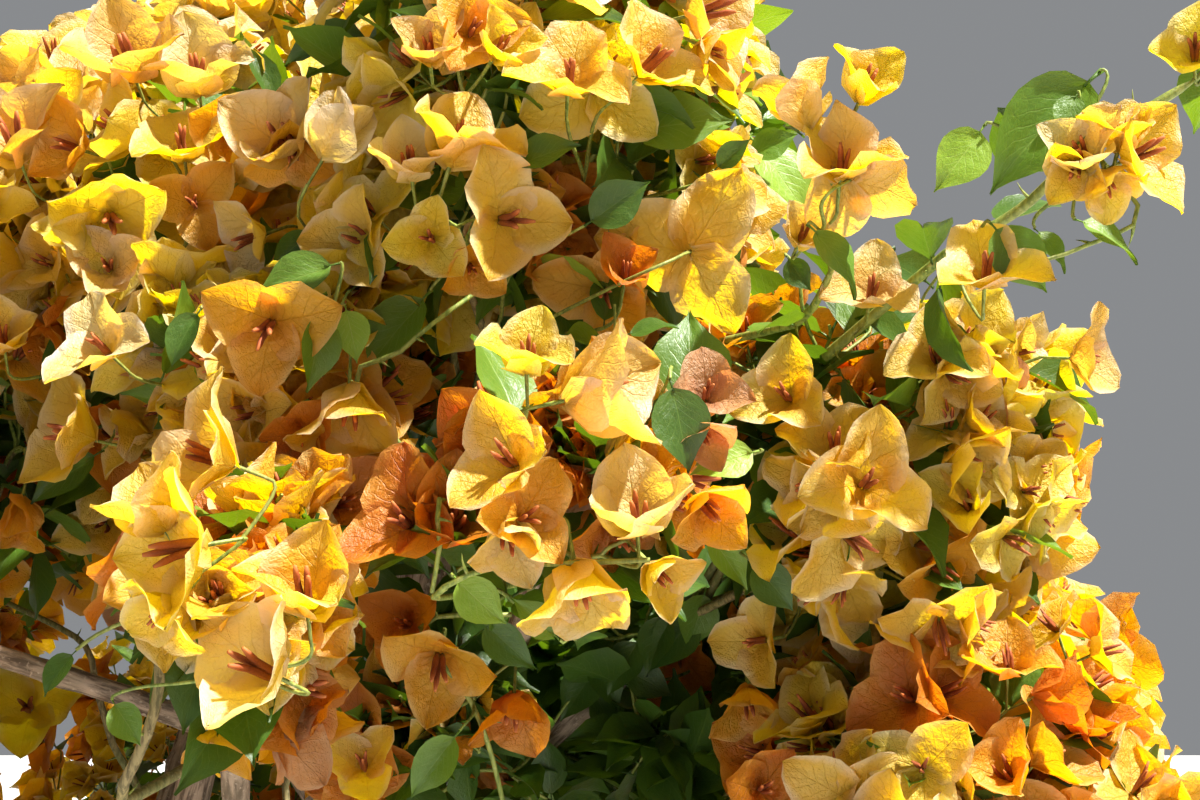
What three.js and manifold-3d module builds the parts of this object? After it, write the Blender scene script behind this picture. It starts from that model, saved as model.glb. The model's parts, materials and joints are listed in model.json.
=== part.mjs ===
// A bougainvillea bush in flower, rooted in the ground.
// Millimetres, +Z up. The origin is the middle of the flat cut under the trunk, at ground level,
// and -Y is the side that the photograph shows.
// The wood is a short trunk, five stems and the boughs on them. The foliage is a shell of uneven
// masses that the boughs enter from inside, with long shoots that carry small sprays past it.

import * as THREE from "three";
import { mergeVertices } from "three/addons/utils/BufferGeometryUtils.js";
import Module from "manifold-3d";

const seatGap = 0.3; // left between two solids that meet

// The trunk, from the flat cut at the ground to the swollen head that the stems leave.
const forkHeight = 120;
const trunkSides = 15;
const trunkProfile = [
  { radius: 84, height: 0 }, // the root flare
  { radius: 70.6, height: 12 },
  { radius: 56, height: 38 },
  { radius: 50, height: 66 }, // the neck
  { radius: 55, height: 90 },
  { radius: 62, height: 112 }, // the head
  { radius: 57.7, height: 138 },
  { radius: 37.2, height: 160 },
];
const trunkCrown = 166; // height of the closed top
const rootLobes = 5; // ridges of the root flare
const lobeDepth = 0.15; // of the radius, at the ground
const lobeTurn = 0.6; // in radians, of the first ridge
const trunkLean = new THREE.Vector3(14, -12, 0); // of the fork, from straight above the cut
const fork = new THREE.Vector3(trunkLean.x, trunkLean.y, forkHeight);

// Each mass of foliage: the middle, the half widths along X, Y and Z, and the facets of its mesh.
const fine = 3;
const plain = 2;
const small = 1;
const masses = {
  mass_top: { middle: [322, -30, 1282], half: [262, 240, 212], detail: fine },
  mass_front_top: { middle: [372, -400, 1226], half: [152, 160, 185], detail: plain },
  mass_left_upper: { middle: [100, -190, 1195], half: [186, 188, 204], detail: fine },
  mass_left_middle: { middle: [-45, -170, 1075], half: [205, 190, 150], detail: plain },
  mass_left_front: { middle: [-180, -410, 955], half: [184, 178, 168], detail: plain },
  mass_front_centre: { middle: [401, -548, 1028], half: [88, 96, 98], detail: plain },
  mass_front_left: { middle: [228, -580, 962], half: [80, 86, 82], detail: plain },
  mass_inner_front: { middle: [240, -360, 1080], half: [142, 140, 128], detail: plain },
  mass_lower_centre: { middle: [314, -395, 872], half: [76, 80, 76], detail: plain },
  mass_right_middle: { middle: [590, -330, 1055], half: [150, 170, 150], detail: plain },
  mass_right_lower: { middle: [640, -330, 800], half: [158, 172, 160], detail: plain },
  mass_crown_left: { middle: [-268, 0, 1105], half: [268, 256, 226], detail: plain },
  mass_crown_back: { middle: [40, 290, 1140], half: [296, 266, 236], detail: plain },
  mass_back_right: { middle: [455, 265, 1010], half: [252, 246, 228], detail: plain },
  mass_side_right: { middle: [620, -30, 850], half: [198, 218, 214], detail: plain },
  mass_side_left: { middle: [-505, -190, 800], half: [220, 230, 216], detail: plain },
  mass_back_left: { middle: [-400, 300, 860], half: [240, 238, 230], detail: plain },
  mass_skirt_front: { middle: [-220, -470, 570], half: [212, 186, 205], detail: plain },
  mass_skirt_centre: { middle: [205, -420, 490], half: [198, 166, 178], detail: plain },
  mass_skirt_corner: { middle: [500, -190, 500], half: [170, 175, 175], detail: plain },
  mass_skirt_back: { middle: [20, 490, 660], half: [260, 205, 232], detail: plain },
  mass_skirt_right: { middle: [460, 260, 555], half: [210, 210, 200], detail: plain },
  mass_skirt_left: { middle: [-430, 80, 470], half: [208, 226, 195], detail: plain },
};

// The small sprays that long shoots carry, in the same form.
const sprays = {
  spray_right_upper: { middle: [566, -520, 1207], half: [44, 42, 74], detail: small },
  spray_right_shoot: { middle: [695, -548, 1194], half: [54, 44, 38], detail: small },
  spray_right_tip: { middle: [788, -575, 1268], half: [46, 42, 40], detail: small },
  spray_right_under: { middle: [634, -522, 1135], half: [42, 40, 30], detail: small },
  spray_left_tip: { middle: [-700, -120, 1150], half: [56, 52, 46], detail: small },
  spray_back_tip: { middle: [-60, 650, 1190], half: [54, 56, 46], detail: small },
  spray_front_tip: { middle: [-330, -690, 905], half: [52, 56, 44], detail: small },
};

// The outline of a mass swells and dips in soft waves, a share of its half width deep.
const swellDepth = 0.1;
const swellWaves = 5;
const firstWave = 2; // turns of the slowest wave, in radians over one half width
const waveFade = 1.4; // the waves get weaker as one over this plus their number

// Masses are cut where they meet only if they are nearer than this share of their reaches.
const cutRange = 1.3;

// The stems leave the trunk's head. Each runs by way of a bend into the mass that it carries.
const stemSteps = 11;
const stemSides = 7;
const stems = {
  stem_front_right: { bend: [210, -120, 560], into: "mass_front_top", radius: [25, 9] },
  stem_top: { bend: [170, 110, 600], into: "mass_top", radius: [26, 10] },
  stem_left: { bend: [-190, 60, 520], into: "mass_crown_left", radius: [24, 9] },
  stem_back: { bend: [-10, 210, 540], into: "mass_crown_back", radius: [23, 9] },
  stem_front: { bend: [-20, -270, 470], into: "mass_inner_front", radius: [21, 8] },
};

// A bough leaves its parent at a share of the parent's length and runs by a bend into the mass
// that is named as the bough is.
const boughSteps = 7;
const boughSides = 6;
const boughs = {
  bough_left_upper: { parent: "stem_top", share: 0.52, bend: [110, -60, 900], radius: [11, 6] },
  bough_left_middle: { parent: "stem_left", share: 0.5, bend: [-70, -60, 830], radius: [10, 6] },
  bough_left_front: { parent: "stem_front", share: 0.78, bend: [60, -420, 930], radius: [8, 5] },
  bough_front_left: { parent: "stem_front", share: 0.6, bend: [228, -480, 810], radius: [9, 5.5] },
  bough_front_centre: { parent: "stem_front_right", share: 0.62, bend: [385, -430, 930], radius: [9, 5.5] },
  bough_lower_centre: { parent: "stem_front_right", share: 0.45, bend: [275, -330, 750], radius: [8, 5] },
  bough_right_middle: { parent: "stem_front_right", share: 0.54, bend: [450, -240, 890], radius: [10, 6] },
  bough_right_lower: { parent: "stem_front_right", share: 0.34, bend: [410, -240, 690], radius: [11, 6] },
  bough_side_right: { parent: "stem_top", share: 0.3, bend: [420, 30, 640], radius: [12, 7] },
  bough_back_right: { parent: "stem_top", share: 0.42, bend: [350, 200, 760], radius: [12, 7] },
  bough_side_left: { parent: "stem_left", share: 0.34, bend: [-330, -90, 600], radius: [12, 7] },
  bough_back_left: { parent: "stem_left", share: 0.42, bend: [-290, 190, 640], radius: [11, 7] },
  bough_skirt_front: { parent: "stem_front", share: 0.26, bend: [-130, -320, 420], radius: [10, 6] },
  bough_skirt_centre: { parent: "stem_front", share: 0.18, bend: [110, -270, 330], radius: [10, 6] },
  bough_skirt_corner: { parent: "stem_front_right", share: 0.16, bend: [330, -150, 330], radius: [11, 6] },
  bough_skirt_back: { parent: "stem_back", share: 0.32, bend: [20, 340, 500], radius: [11, 7] },
  bough_skirt_right: { parent: "stem_top", share: 0.16, bend: [290, 160, 350], radius: [11, 7] },
  bough_skirt_left: { parent: "stem_left", share: 0.16, bend: [-250, 60, 320], radius: [11, 7] },
};

// A long shoot starts inside a mass and ends in a spray. Sprays that it passes are cut round it.
const shootSteps = 8;
const shootSides = 5;
const shoots = {
  shoot_right: {
    from: [540, -430, 1090],
    bend: [655, -525, 1185],
    into: "spray_right_tip",
    radius: [3.8, 2.4],
  },
  shoot_right_upper: {
    from: [520, -430, 1110],
    bend: [562, -508, 1120],
    into: "spray_right_upper",
    radius: [2.8, 2],
  },
  shoot_left: {
    from: [-400, -60, 1150],
    bend: [-570, -95, 1225],
    into: "spray_left_tip",
    radius: [3.6, 2.2],
  },
  shoot_back: {
    from: [30, 430, 1190],
    bend: [-20, 560, 1250],
    into: "spray_back_tip",
    radius: [3.6, 2.2],
  },
  shoot_front: {
    from: [-240, -520, 960],
    bend: [-300, -620, 990],
    into: "spray_front_tip",
    radius: [3.4, 2.2],
  },
};

// Between its two ends a limb strays from its smooth line at evenly spaced crooks.
const crook = 0.035; // the most that it strays, as a share of its length
const crookKnots = 6;

const leafGreen = { color: 0x5c7a2c, roughness: 0.6 };
const bractGold = { color: 0xe0a02a, roughness: 0.65 };
const barkGrey = { color: 0x9a8268, roughness: 0.9 };
const shootGreen = { color: 0x7d8a3c, roughness: 0.6 };

const wasm = await Module();
wasm.setup();

// A closed three.js geometry as a solid that can be joined and cut.
function solidOf(geometry) {
  const shape = geometry.clone();
  shape.deleteAttribute("normal");
  shape.deleteAttribute("uv");
  const merged = mergeVertices(shape, 1e-3);
  return new wasm.Manifold(
    new wasm.Mesh({
      numProp: 3,
      vertProperties: new Float32Array(merged.attributes.position.array),
      triVerts: new Uint32Array(merged.index.array),
    }),
  );
}

function largest(solid) {
  return solid.decompose().reduce((a, b) => (b.volume() > a.volume() ? b : a));
}

// The largest body of a solid, as a three.js geometry.
function geometryOf(solid) {
  const mesh = largest(solid).getMesh();
  const places = new Float32Array(mesh.vertProperties);
  const geometry = new THREE.BufferGeometry();
  geometry.setAttribute("position", new THREE.BufferAttribute(places, 3));
  geometry.setIndex(new THREE.BufferAttribute(new Uint32Array(mesh.triVerts), 1));
  geometry.computeVertexNormals();
  return geometry;
}

// A number from 0 to 1 that is always the same for the same word and turn.
function drawn(word, turn) {
  let sum = 7 + turn * 131;
  for (const letter of word) sum = (sum * 31 + letter.charCodeAt(0)) % 99991;
  return (Math.sin(sum * 12.9898) * 43758.5453 + 100000) % 1;
}

// How far a mass swells or dips along a direction: soft waves, each with its own axis and start.
function unevenness(name, direction) {
  let sum = 0;
  for (let wave = 0; wave < swellWaves; wave++) {
    const turn = 2 * Math.PI * drawn(name, wave);
    const height = 2 * drawn(name, wave + 10) - 1;
    const width = Math.sqrt(1 - height * height);
    const axis = new THREE.Vector3(width * Math.cos(turn), width * Math.sin(turn), height);
    const start = 2 * Math.PI * drawn(name, wave + 20);
    sum += Math.sin((firstWave + wave) * direction.dot(axis) + start) / (waveFade + wave);
  }
  return swellDepth * sum;
}

// An uneven ball of foliage, grown outwards by a margin.
function lump(name, { middle, half, detail }, margin = 0) {
  const geometry = new THREE.IcosahedronGeometry(1, detail);
  const place = geometry.attributes.position;
  const point = new THREE.Vector3();
  for (let i = 0; i < place.count; i++) {
    point.fromBufferAttribute(place, i).normalize();
    const swell = 1 + unevenness(name, point);
    place.setXYZ(
      i,
      middle[0] + point.x * (half[0] * swell + margin),
      middle[1] + point.y * (half[1] * swell + margin),
      middle[2] + point.z * (half[2] * swell + margin),
    );
  }
  return solidOf(geometry);
}

// How far a mass reaches from its middle along a direction.
function reach({ half }, direction) {
  return 1 / Math.hypot(direction.x / half[0], direction.y / half[1], direction.z / half[2]);
}

// Two masses that would overlap meet at a plane, with half the seat gap on each side of it.
function trimmed(name, all, margin = 0) {
  const own = all[name];
  const middle = new THREE.Vector3(...own.middle);
  let solid = lump(name, own, margin);
  for (const [other, neighbour] of Object.entries(all)) {
    if (other === name) continue;
    const towards = new THREE.Vector3(...neighbour.middle).sub(middle);
    const apart = towards.length();
    towards.normalize();
    const [mine, theirs] = [reach(own, towards), reach(neighbour, towards)];
    if (apart > cutRange * (mine + theirs)) continue;
    const crossing = (apart * apart + mine * mine - theirs * theirs) / (2 * apart);
    const share = apart > mine + theirs ? (apart * mine) / (mine + theirs) : crossing;
    const limit = middle.dot(towards) + share - seatGap / 2 + margin;
    solid = solid.trimByPlane([-towards.x, -towards.y, -towards.z], -limit);
  }
  return solid;
}

// A tapering limb round a curve: a closed cylinder whose rings are moved along it.
function limb(curve, [foot, tip], steps, sides, margin = 0) {
  const geometry = new THREE.CylinderGeometry(tip + margin, foot + margin, 1, sides, steps);
  const frames = curve.computeFrenetFrames(steps, false);
  const place = geometry.attributes.position;
  const point = new THREE.Vector3();
  for (let i = 0; i < place.count; i++) {
    const step = Math.round((place.getY(i) + 0.5) * steps);
    curve.getPointAt(step / steps, point);
    point.addScaledVector(frames.normals[step], place.getX(i));
    point.addScaledVector(frames.binormals[step], -place.getZ(i));
    place.setXYZ(i, point.x, point.y, point.z);
  }
  return solidOf(geometry);
}

// The trunk: its profile turned round the axis, ridged at the root flare and leaning to the fork.
function trunk(margin = 0) {
  const profile = trunkProfile.map(({ radius, height }) => new THREE.Vector2(radius + margin, height));
  const foot = new THREE.Vector2(0, 0);
  const crown = new THREE.Vector2(0, trunkCrown + margin);
  const geometry = new THREE.LatheGeometry([foot, ...profile, crown], trunkSides);
  geometry.rotateX(Math.PI / 2);
  const place = geometry.attributes.position;
  for (let i = 0; i < place.count; i++) {
    const [x, y, z] = [place.getX(i), place.getY(i), place.getZ(i)];
    const height = Math.min(1, z / forkHeight);
    const wave = Math.cos(rootLobes * Math.atan2(y, x) + lobeTurn);
    const ridge = 1 + lobeDepth * (1 - height) ** 2 * wave;
    const lean = height * height * (3 - 2 * height);
    place.setXYZ(i, x * ridge + trunkLean.x * lean, y * ridge + trunkLean.y * lean, z);
  }
  return solidOf(geometry);
}

// A curve from a start, by way of a bend, to the middle of a mass, with the crooks of grown wood.
function route(name, start, bend, into) {
  const end = new THREE.Vector3(...into.middle);
  const smooth = new THREE.QuadraticBezierCurve3(start, new THREE.Vector3(...bend), end);
  const length = smooth.getLength();
  const points = smooth.getSpacedPoints(crookKnots).map((point, i) => {
    if (i === 0 || i === crookKnots) return point;
    const turn = 2 * Math.PI * drawn(name, i);
    const aside = new THREE.Vector3(Math.cos(turn), Math.sin(turn), 0);
    return point.addScaledVector(aside, crook * length * drawn(name, i + 30));
  });
  return new THREE.CatmullRomCurve3(points);
}

const everyMass = { ...masses, ...sprays };
const curves = {}; // of every limb
const wood = {}; // of every limb: the solid, the same grown by the seat gap, and its mass

function wideWood() {
  return Object.values(wood).map((grown) => grown.wide);
}

// A limb ends at the face of the mass that it enters, and the cutters take off what they cover.
function growLimb(name, start, { bend, into, radius }, steps, sides, cutters) {
  const curve = route(name, start, bend, everyMass[into]);
  let solid = limb(curve, radius, steps, sides);
  for (const cutter of cutters) solid = solid.subtract(cutter);
  solid = largest(solid.subtract(trimmed(into, everyMass, seatGap)));
  curves[name] = curve;
  wood[name] = { solid, wide: limb(curve, radius, steps, sides, seatGap), into };
}

const wideTrunk = trunk(seatGap);
for (const [name, spec] of Object.entries(stems)) {
  growLimb(name, fork, spec, stemSteps, stemSides, [wideTrunk, ...wideWood()]);
}
for (const [name, spec] of Object.entries(boughs)) {
  const start = curves[spec.parent].getPointAt(spec.share);
  const into = name.replace("bough", "mass");
  growLimb(name, start, { ...spec, into }, boughSteps, boughSides, [wideTrunk, ...wideWood()]);
}

// A shoot is cut back to the face of the mass that it starts in.
const wideMasses = Object.keys(masses).map((mass) => trimmed(mass, everyMass, seatGap));
for (const [name, spec] of Object.entries(shoots)) {
  growLimb(name, new THREE.Vector3(...spec.from), spec, shootSteps, shootSides, wideMasses);
}

const bush = new THREE.Group();

function addMesh(name, solid, look) {
  const material = new THREE.MeshStandardMaterial({ metalness: 0, ...look });
  const mesh = new THREE.Mesh(geometryOf(solid), material);
  mesh.name = name;
  bush.add(mesh);
}

addMesh("trunk", trunk(), barkGrey);
for (const [name, { solid }] of Object.entries(wood)) {
  addMesh(name, solid, name in shoots ? shootGreen : barkGrey);
}

// Masses are cut round every limb that passes through them on its way to another mass.
for (const name of Object.keys(everyMass)) {
  let solid = trimmed(name, everyMass);
  for (const { wide, into } of Object.values(wood)) {
    if (into !== name) solid = solid.subtract(wide);
  }
  addMesh(name, solid, name in sprays ? bractGold : leafGreen);
}

export default bush;
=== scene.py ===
import json
import math
import bpy
import numpy as np
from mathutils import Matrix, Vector
from mathutils.bvhtree import BVHTree

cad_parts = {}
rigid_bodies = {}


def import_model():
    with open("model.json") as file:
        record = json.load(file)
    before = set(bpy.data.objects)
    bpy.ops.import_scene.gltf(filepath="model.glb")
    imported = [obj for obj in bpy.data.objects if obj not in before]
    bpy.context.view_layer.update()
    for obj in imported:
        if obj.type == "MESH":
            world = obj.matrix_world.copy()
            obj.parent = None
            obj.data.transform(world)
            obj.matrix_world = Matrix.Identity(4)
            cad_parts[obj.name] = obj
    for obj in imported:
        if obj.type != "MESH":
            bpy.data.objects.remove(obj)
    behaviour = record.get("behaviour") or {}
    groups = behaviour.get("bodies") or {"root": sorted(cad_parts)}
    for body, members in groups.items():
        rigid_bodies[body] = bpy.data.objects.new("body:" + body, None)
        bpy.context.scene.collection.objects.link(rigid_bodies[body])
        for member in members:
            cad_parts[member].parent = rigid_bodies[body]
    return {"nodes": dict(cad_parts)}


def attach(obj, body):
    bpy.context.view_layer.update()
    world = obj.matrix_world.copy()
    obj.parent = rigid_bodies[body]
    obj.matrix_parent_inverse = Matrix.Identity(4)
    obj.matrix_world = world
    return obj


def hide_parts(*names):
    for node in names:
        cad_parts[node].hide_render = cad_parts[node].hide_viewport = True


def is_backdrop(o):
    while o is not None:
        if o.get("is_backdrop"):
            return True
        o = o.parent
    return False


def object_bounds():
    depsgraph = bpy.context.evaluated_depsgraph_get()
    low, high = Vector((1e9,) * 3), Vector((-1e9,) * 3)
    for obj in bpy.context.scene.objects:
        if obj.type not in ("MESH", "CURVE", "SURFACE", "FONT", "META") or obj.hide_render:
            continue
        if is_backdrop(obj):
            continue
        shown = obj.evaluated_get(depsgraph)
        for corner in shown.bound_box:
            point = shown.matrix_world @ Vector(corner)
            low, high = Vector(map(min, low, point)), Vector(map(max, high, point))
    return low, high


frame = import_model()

cadLow, cadHigh = (np.array(corner, float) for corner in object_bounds())
nodes = frame["nodes"]
scene = bpy.context.scene
massNames = sorted(name for name in nodes if name.startswith(("mass_", "spray_")))
limbNames = sorted(name for name in nodes if name.startswith(("stem_", "bough_", "shoot_")))
stemNames, boughNames, shootNames = (
    [name for name in limbNames if name.startswith(kind)] for kind in ("stem_", "bough_", "shoot_")
)
print("frame:", len(massNames), "masses of foliage and", len(limbNames), "limbs")

# The photograph's view: a close look at the front of the bush from a little below eye height
view = {
    "place": (0.42, -1.5, 1.0),
    "pitch": 4.0,  # degrees above level
    "lens": 52.0,
    "sensor": 36.0,
    "width": 1200,
    "height": 800,
    "border": 90,  # pixels past the frame that still get the fine shapes
    "nearest": 0.02,  # metres from the eye; nothing closer shows
}
eye = np.array(view["place"])
pitch = math.radians(view["pitch"])
ahead = np.array((0.0, math.cos(pitch), math.sin(pitch)))
upward = np.array((0.0, -math.sin(pitch), math.cos(pitch)))
rightward = np.array((1.0, 0.0, 0.0))
focus = view["lens"] / view["sensor"] * view["width"]  # in pixels
fullTurn = 2 * math.pi


def unit(v):
    v = np.asarray(v, float)
    return v / np.maximum(np.linalg.norm(v, axis=-1, keepdims=True), 1e-9)


def apart(first, second):
    return np.linalg.norm(np.subtract(first, second))


def alongRay(u, v):
    # from the eye through a pixel, as long as one metre ahead
    return ahead + (u - view["width"] / 2) / focus * rightward + (view["height"] / 2 - v) / focus * upward


def photoPoint(u, v, depth):
    return eye + depth * alongRay(u, v)


def photoPixels(points):
    # pixel and depth of each point
    away = np.atleast_2d(points) - eye
    depth = np.maximum(away @ ahead, 1e-3)
    u = view["width"] / 2 + focus * (away @ rightward) / depth
    v = view["height"] / 2 - focus * (away @ upward) / depth
    return u, v, depth


def photoPixel(place):
    return [float(values[0]) for values in photoPixels(place)]


def within(zone, place):
    u, v, depth = photoPixel(place)
    return zone["left"] < u < zone["right"] and zone["top"] < v < zone["bottom"] and depth < zone["depth"]


def colour(rgb):
    # 0 to 255 as seen on a screen, to the linear values that shaders take
    return tuple(((c / 255 + 0.055) / 1.055) ** 2.4 if c > 10 else c / 3295 for c in rgb) + (1.0,)


# Curves, tubes and meshes

def hermite(start, startPull, end, endPull, t):
    t = np.asarray(t, float)[..., None]
    return (
        (2 * t**3 - 3 * t**2 + 1) * start
        + (t**3 - 2 * t**2 + t) * startPull
        + (3 * t**2 - 2 * t**3) * end
        + (t**3 - t**2) * endPull
    )


def lengths(path):
    # how far along the path each of its points is
    return np.r_[0, np.cumsum(np.linalg.norm(np.diff(path, axis=0), axis=1))]


def smoothPath(knots, count):
    knots = np.asarray(knots, float)
    pulls = np.gradient(knots, axis=0)
    share = np.linspace(0, 1, 12, endpoint=False)
    dense = [hermite(knots[i], pulls[i], knots[i + 1], pulls[i + 1], share) for i in range(len(knots) - 1)]
    dense = np.vstack(dense + [knots[-1:]])
    length = lengths(dense)
    want = np.linspace(0, length[-1], count)
    return np.column_stack([np.interp(want, length, dense[:, k]) for k in range(3)])


def pathLength(path):
    return np.linalg.norm(np.diff(path, axis=0), axis=1).sum()


def evenly(path, values, count):
    # values given at the path's points, read off at even steps along it
    return np.interp(np.linspace(0, 1, count), lengths(path) / pathLength(path), values)


def nearestOn(path, point):
    return path[int(np.argmin(np.linalg.norm(path - point, axis=1)))]


def softNoise(points, scale, seed):
    # a smooth uneven number near -1 to 1 for each point, from a few crossed waves
    draw = np.random.default_rng(seed)
    total = np.zeros(len(points))
    for octave in range(5):
        axis = unit(draw.normal(size=3))
        wave = points @ axis * scale * (1 + 0.6 * octave) * fullTurn
        total += np.sin(wave + draw.uniform(0, 6.28)) / (1 + 0.5 * octave)
    return total / 2.2


def ringFrames(path):
    tangents = unit(np.gradient(path, axis=0))
    side = unit(np.cross(tangents[0], (0.31, 0.87, 0.12)))
    sides = []
    for tangent in tangents:
        side = unit(side - tangent * (side @ tangent))
        sides.append(side)
    sides = np.array(sides)
    return tangents, sides, np.cross(tangents, sides)


def ringsRound(path, radius, angle, a, b):
    circle = np.cos(angle)[None, :, None] * a[:, None] + np.sin(angle)[None, :, None] * b[:, None]
    return (path[:, None] + radius[..., None] * circle).reshape(-1, 3)


def ringFaces(rows, sides):
    # the wall between the rings, and fans to the two middle points that follow them
    pairs = [(c, (c + 1) % sides) for c in range(sides)]
    foot, last = rows * sides, (rows - 1) * sides
    faces = [(r + c, r + d, r + sides + d, r + sides + c) for r in range(0, last, sides) for c, d in pairs]
    return faces + [(foot, d, c) for c, d in pairs] + [(foot + 1, last + c, last + d) for c, d in pairs]


def joined(parts):
    points, maps, faces, shift = [], [], [], 0
    for p, m, f in parts:
        points.append(p)
        maps.append(m)
        faces += [tuple(i + shift for i in face) for face in f]
        shift += len(p)
    return np.vstack(points), np.vstack(maps), faces


def fill(layer, label, values, kind=np.float32):
    layer.foreach_set(label, np.asarray(values, kind).ravel())


def meshOf(name, vertices, faces, uvs=None, grain=None):
    mesh = bpy.data.meshes.new(name)
    mesh.from_pydata([tuple(v) for v in vertices], [], faces)
    if uvs is not None:
        corners = np.empty(len(mesh.loops), np.int32)
        mesh.loops.foreach_get("vertex_index", corners)
        fill(mesh.uv_layers.new(name="UVMap").data, "uv", np.asarray(uvs)[corners])
    if grain is not None:
        fill(mesh.attributes.new("grain", "FLOAT_VECTOR", "POINT").data, "vector", grain)
    fill(mesh.polygons, "use_smooth", np.ones(len(mesh.polygons)), bool)
    mesh.update()
    return mesh


def addPiece(name, data):
    piece = bpy.data.objects.new(name, data)
    scene.collection.objects.link(piece)
    return piece


def triangleCount(mesh):
    return sum(len(polygon.vertices) - 2 for polygon in mesh.polygons)


# Nodes: these serve materials, shader groups and geometry trees alike

def addNode(tree, kind, inputs=(), **settings):
    # inputs give each socket, by name or number, its value or the socket that feeds it
    node = tree.nodes.new(kind)
    for key, value in settings.items():
        setattr(node, key, value)
    for key, value in dict(inputs).items():
        if isinstance(value, bpy.types.NodeSocket):
            tree.links.new(value, node.inputs[key])
        elif value is not None:
            node.inputs[key].default_value = value
    return node


def calculate(tree, operation, *values):
    return addNode(tree, "ShaderNodeMath", enumerate(values), operation=operation).outputs[0]


def remap(tree, value, low, high, toLow=0.0, toHigh=1.0):
    inputs = {"Value": value, "From Min": low, "From Max": high, "To Min": toLow, "To Max": toHigh}
    return addNode(tree, "ShaderNodeMapRange", inputs, interpolation_type="SMOOTHSTEP").outputs["Result"]


def mixColours(tree, factor, first, second):
    return addNode(tree, "ShaderNodeMix", {0: factor, 6: first, 7: second}, data_type="RGBA").outputs[2]


def noiseOf(tree, vector, scale, detail, roughness=0.55, flat=False):
    inputs = {"Vector": vector, "Scale": scale, "Detail": detail, "Roughness": roughness}
    dimensions = "2D" if flat else "3D"
    return addNode(tree, "ShaderNodeTexNoise", inputs, noise_dimensions=dimensions).outputs["Fac"]


def bumpOf(tree, height, strength, distance):
    inputs = {"Height": height, "Strength": strength, "Distance": distance}
    return addNode(tree, "ShaderNodeBump", inputs).outputs[0]


def linkAll(tree, sockets, values):
    for label, value in values.items():
        tree.links.new(value, sockets[label])


def groupOf(name, kind, inputs, outputs):
    group = bpy.data.node_groups.new(name, kind)
    for label, socketKind, value in inputs:
        socket = group.interface.new_socket(label, in_out="INPUT", socket_type="NodeSocket" + socketKind)
        if value is not None:
            socket.default_value = value
    for label, socketKind in outputs:
        group.interface.new_socket(label, in_out="OUTPUT", socket_type="NodeSocket" + socketKind)
    return group, group.nodes.new("NodeGroupInput").outputs, group.nodes.new("NodeGroupOutput").inputs


def makeVeins():
    # Midrib, side veins and the fine net between them, on a blade whose U runs across and V along
    group, given, made = groupOf(
        "bladeVeins", "ShaderNodeTree",
        [("UV", "Vector", None), ("Side Veins", "Float", 7.0), ("Slant", "Float", 0.4),
         ("Width", "Float", 0.06), ("Net Scale", "Float", 14.0)],
        [(label, "Float") for label in ("Veins", "Net", "Edge", "Along", "Height")],
    )

    def maths(operation, *values):
        return calculate(group, operation, *values)

    parts = addNode(group, "ShaderNodeSeparateXYZ", {0: given["UV"]}).outputs
    across = maths("ABSOLUTE", maths("MULTIPLY_ADD", parts[0], 2.0, -1.0))
    bend = maths("MULTIPLY_ADD", noiseOf(group, given["UV"], 5.0, 1.0, flat=True), 0.08, -0.04)
    # side veins leave the midrib forwards and bend to the tip
    reach = maths("MULTIPLY", maths("POWER", across, 0.8), given["Slant"])
    turn = maths("MULTIPLY", maths("SUBTRACT", maths("ADD", parts[1], bend), reach), given["Side Veins"])
    offLine = maths("ABSOLUTE", maths("SUBTRACT", maths("FRACT", turn), 0.5))
    side = remap(group, offLine, 0.0, maths("MULTIPLY", given["Width"], 2.2), 1.0, 0.0)
    side = maths("MULTIPLY", side, remap(group, across, 0.35, 0.95, 1.0, 0.15))
    midrib = remap(group, across, 0.0, given["Width"], 1.0, 0.0)
    veins = maths("MAXIMUM", maths("MULTIPLY", side, 0.75), midrib)
    cells = addNode(
        group, "ShaderNodeTexVoronoi", {"Vector": given["UV"], "Scale": given["Net Scale"]},
        feature="DISTANCE_TO_EDGE", voronoi_dimensions="2D",
    )
    net = remap(group, cells.outputs["Distance"], 0.0, 0.12, 1.0, 0.0)
    height = maths("MULTIPLY_ADD", net, -0.12, maths("MULTIPLY", veins, -0.6))
    height = maths("MULTIPLY_ADD", noiseOf(group, given["UV"], 7.0, 3.0, 0.62, flat=True), 2.4, height)
    edge = remap(group, across, 0.55, 1.0)
    linkAll(group, made, {"Veins": veins, "Net": net, "Edge": edge, "Along": parts[1], "Height": height})
    return group


def makeGrain():
    # Furrows that run with the wood, with pale corky flecks
    group, given, made = groupOf(
        "barkGrain", "ShaderNodeTree",
        [("Vector", "Vector", None), ("Fineness", "Float", 1.0)],
        [(label, "Float") for label in ("Furrows", "Flecks", "Height")],
    )
    stretched = addNode(
        group, "ShaderNodeVectorMath", {0: given["Vector"], 1: (260.0, 260.0, 45.0)}, operation="MULTIPLY"
    ).outputs[0]
    scaled = addNode(
        group, "ShaderNodeVectorMath", {0: stretched, "Scale": given["Fineness"]}, operation="SCALE"
    ).outputs[0]
    furrows = noiseOf(group, scaled, 1.0, 5.0, 0.62)
    flecks = remap(group, noiseOf(group, given["Vector"], 310.0, 2.0, 0.5), 0.6, 0.72)
    height = calculate(group, "MULTIPLY_ADD", flecks, 0.3, furrows)
    linkAll(group, made, {"Furrows": furrows, "Flecks": flecks, "Height": height})
    return group


veinGroup, grainGroup = makeVeins(), makeGrain()


def startMaterial(name):
    material = bpy.data.materials.new(name)
    material.use_nodes = True
    tree = material.node_tree
    tree.nodes.clear()
    output = tree.nodes.new("ShaderNodeOutputMaterial")
    return material, tree, output, tree.nodes.new("ShaderNodeBsdfPrincipled")


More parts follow.
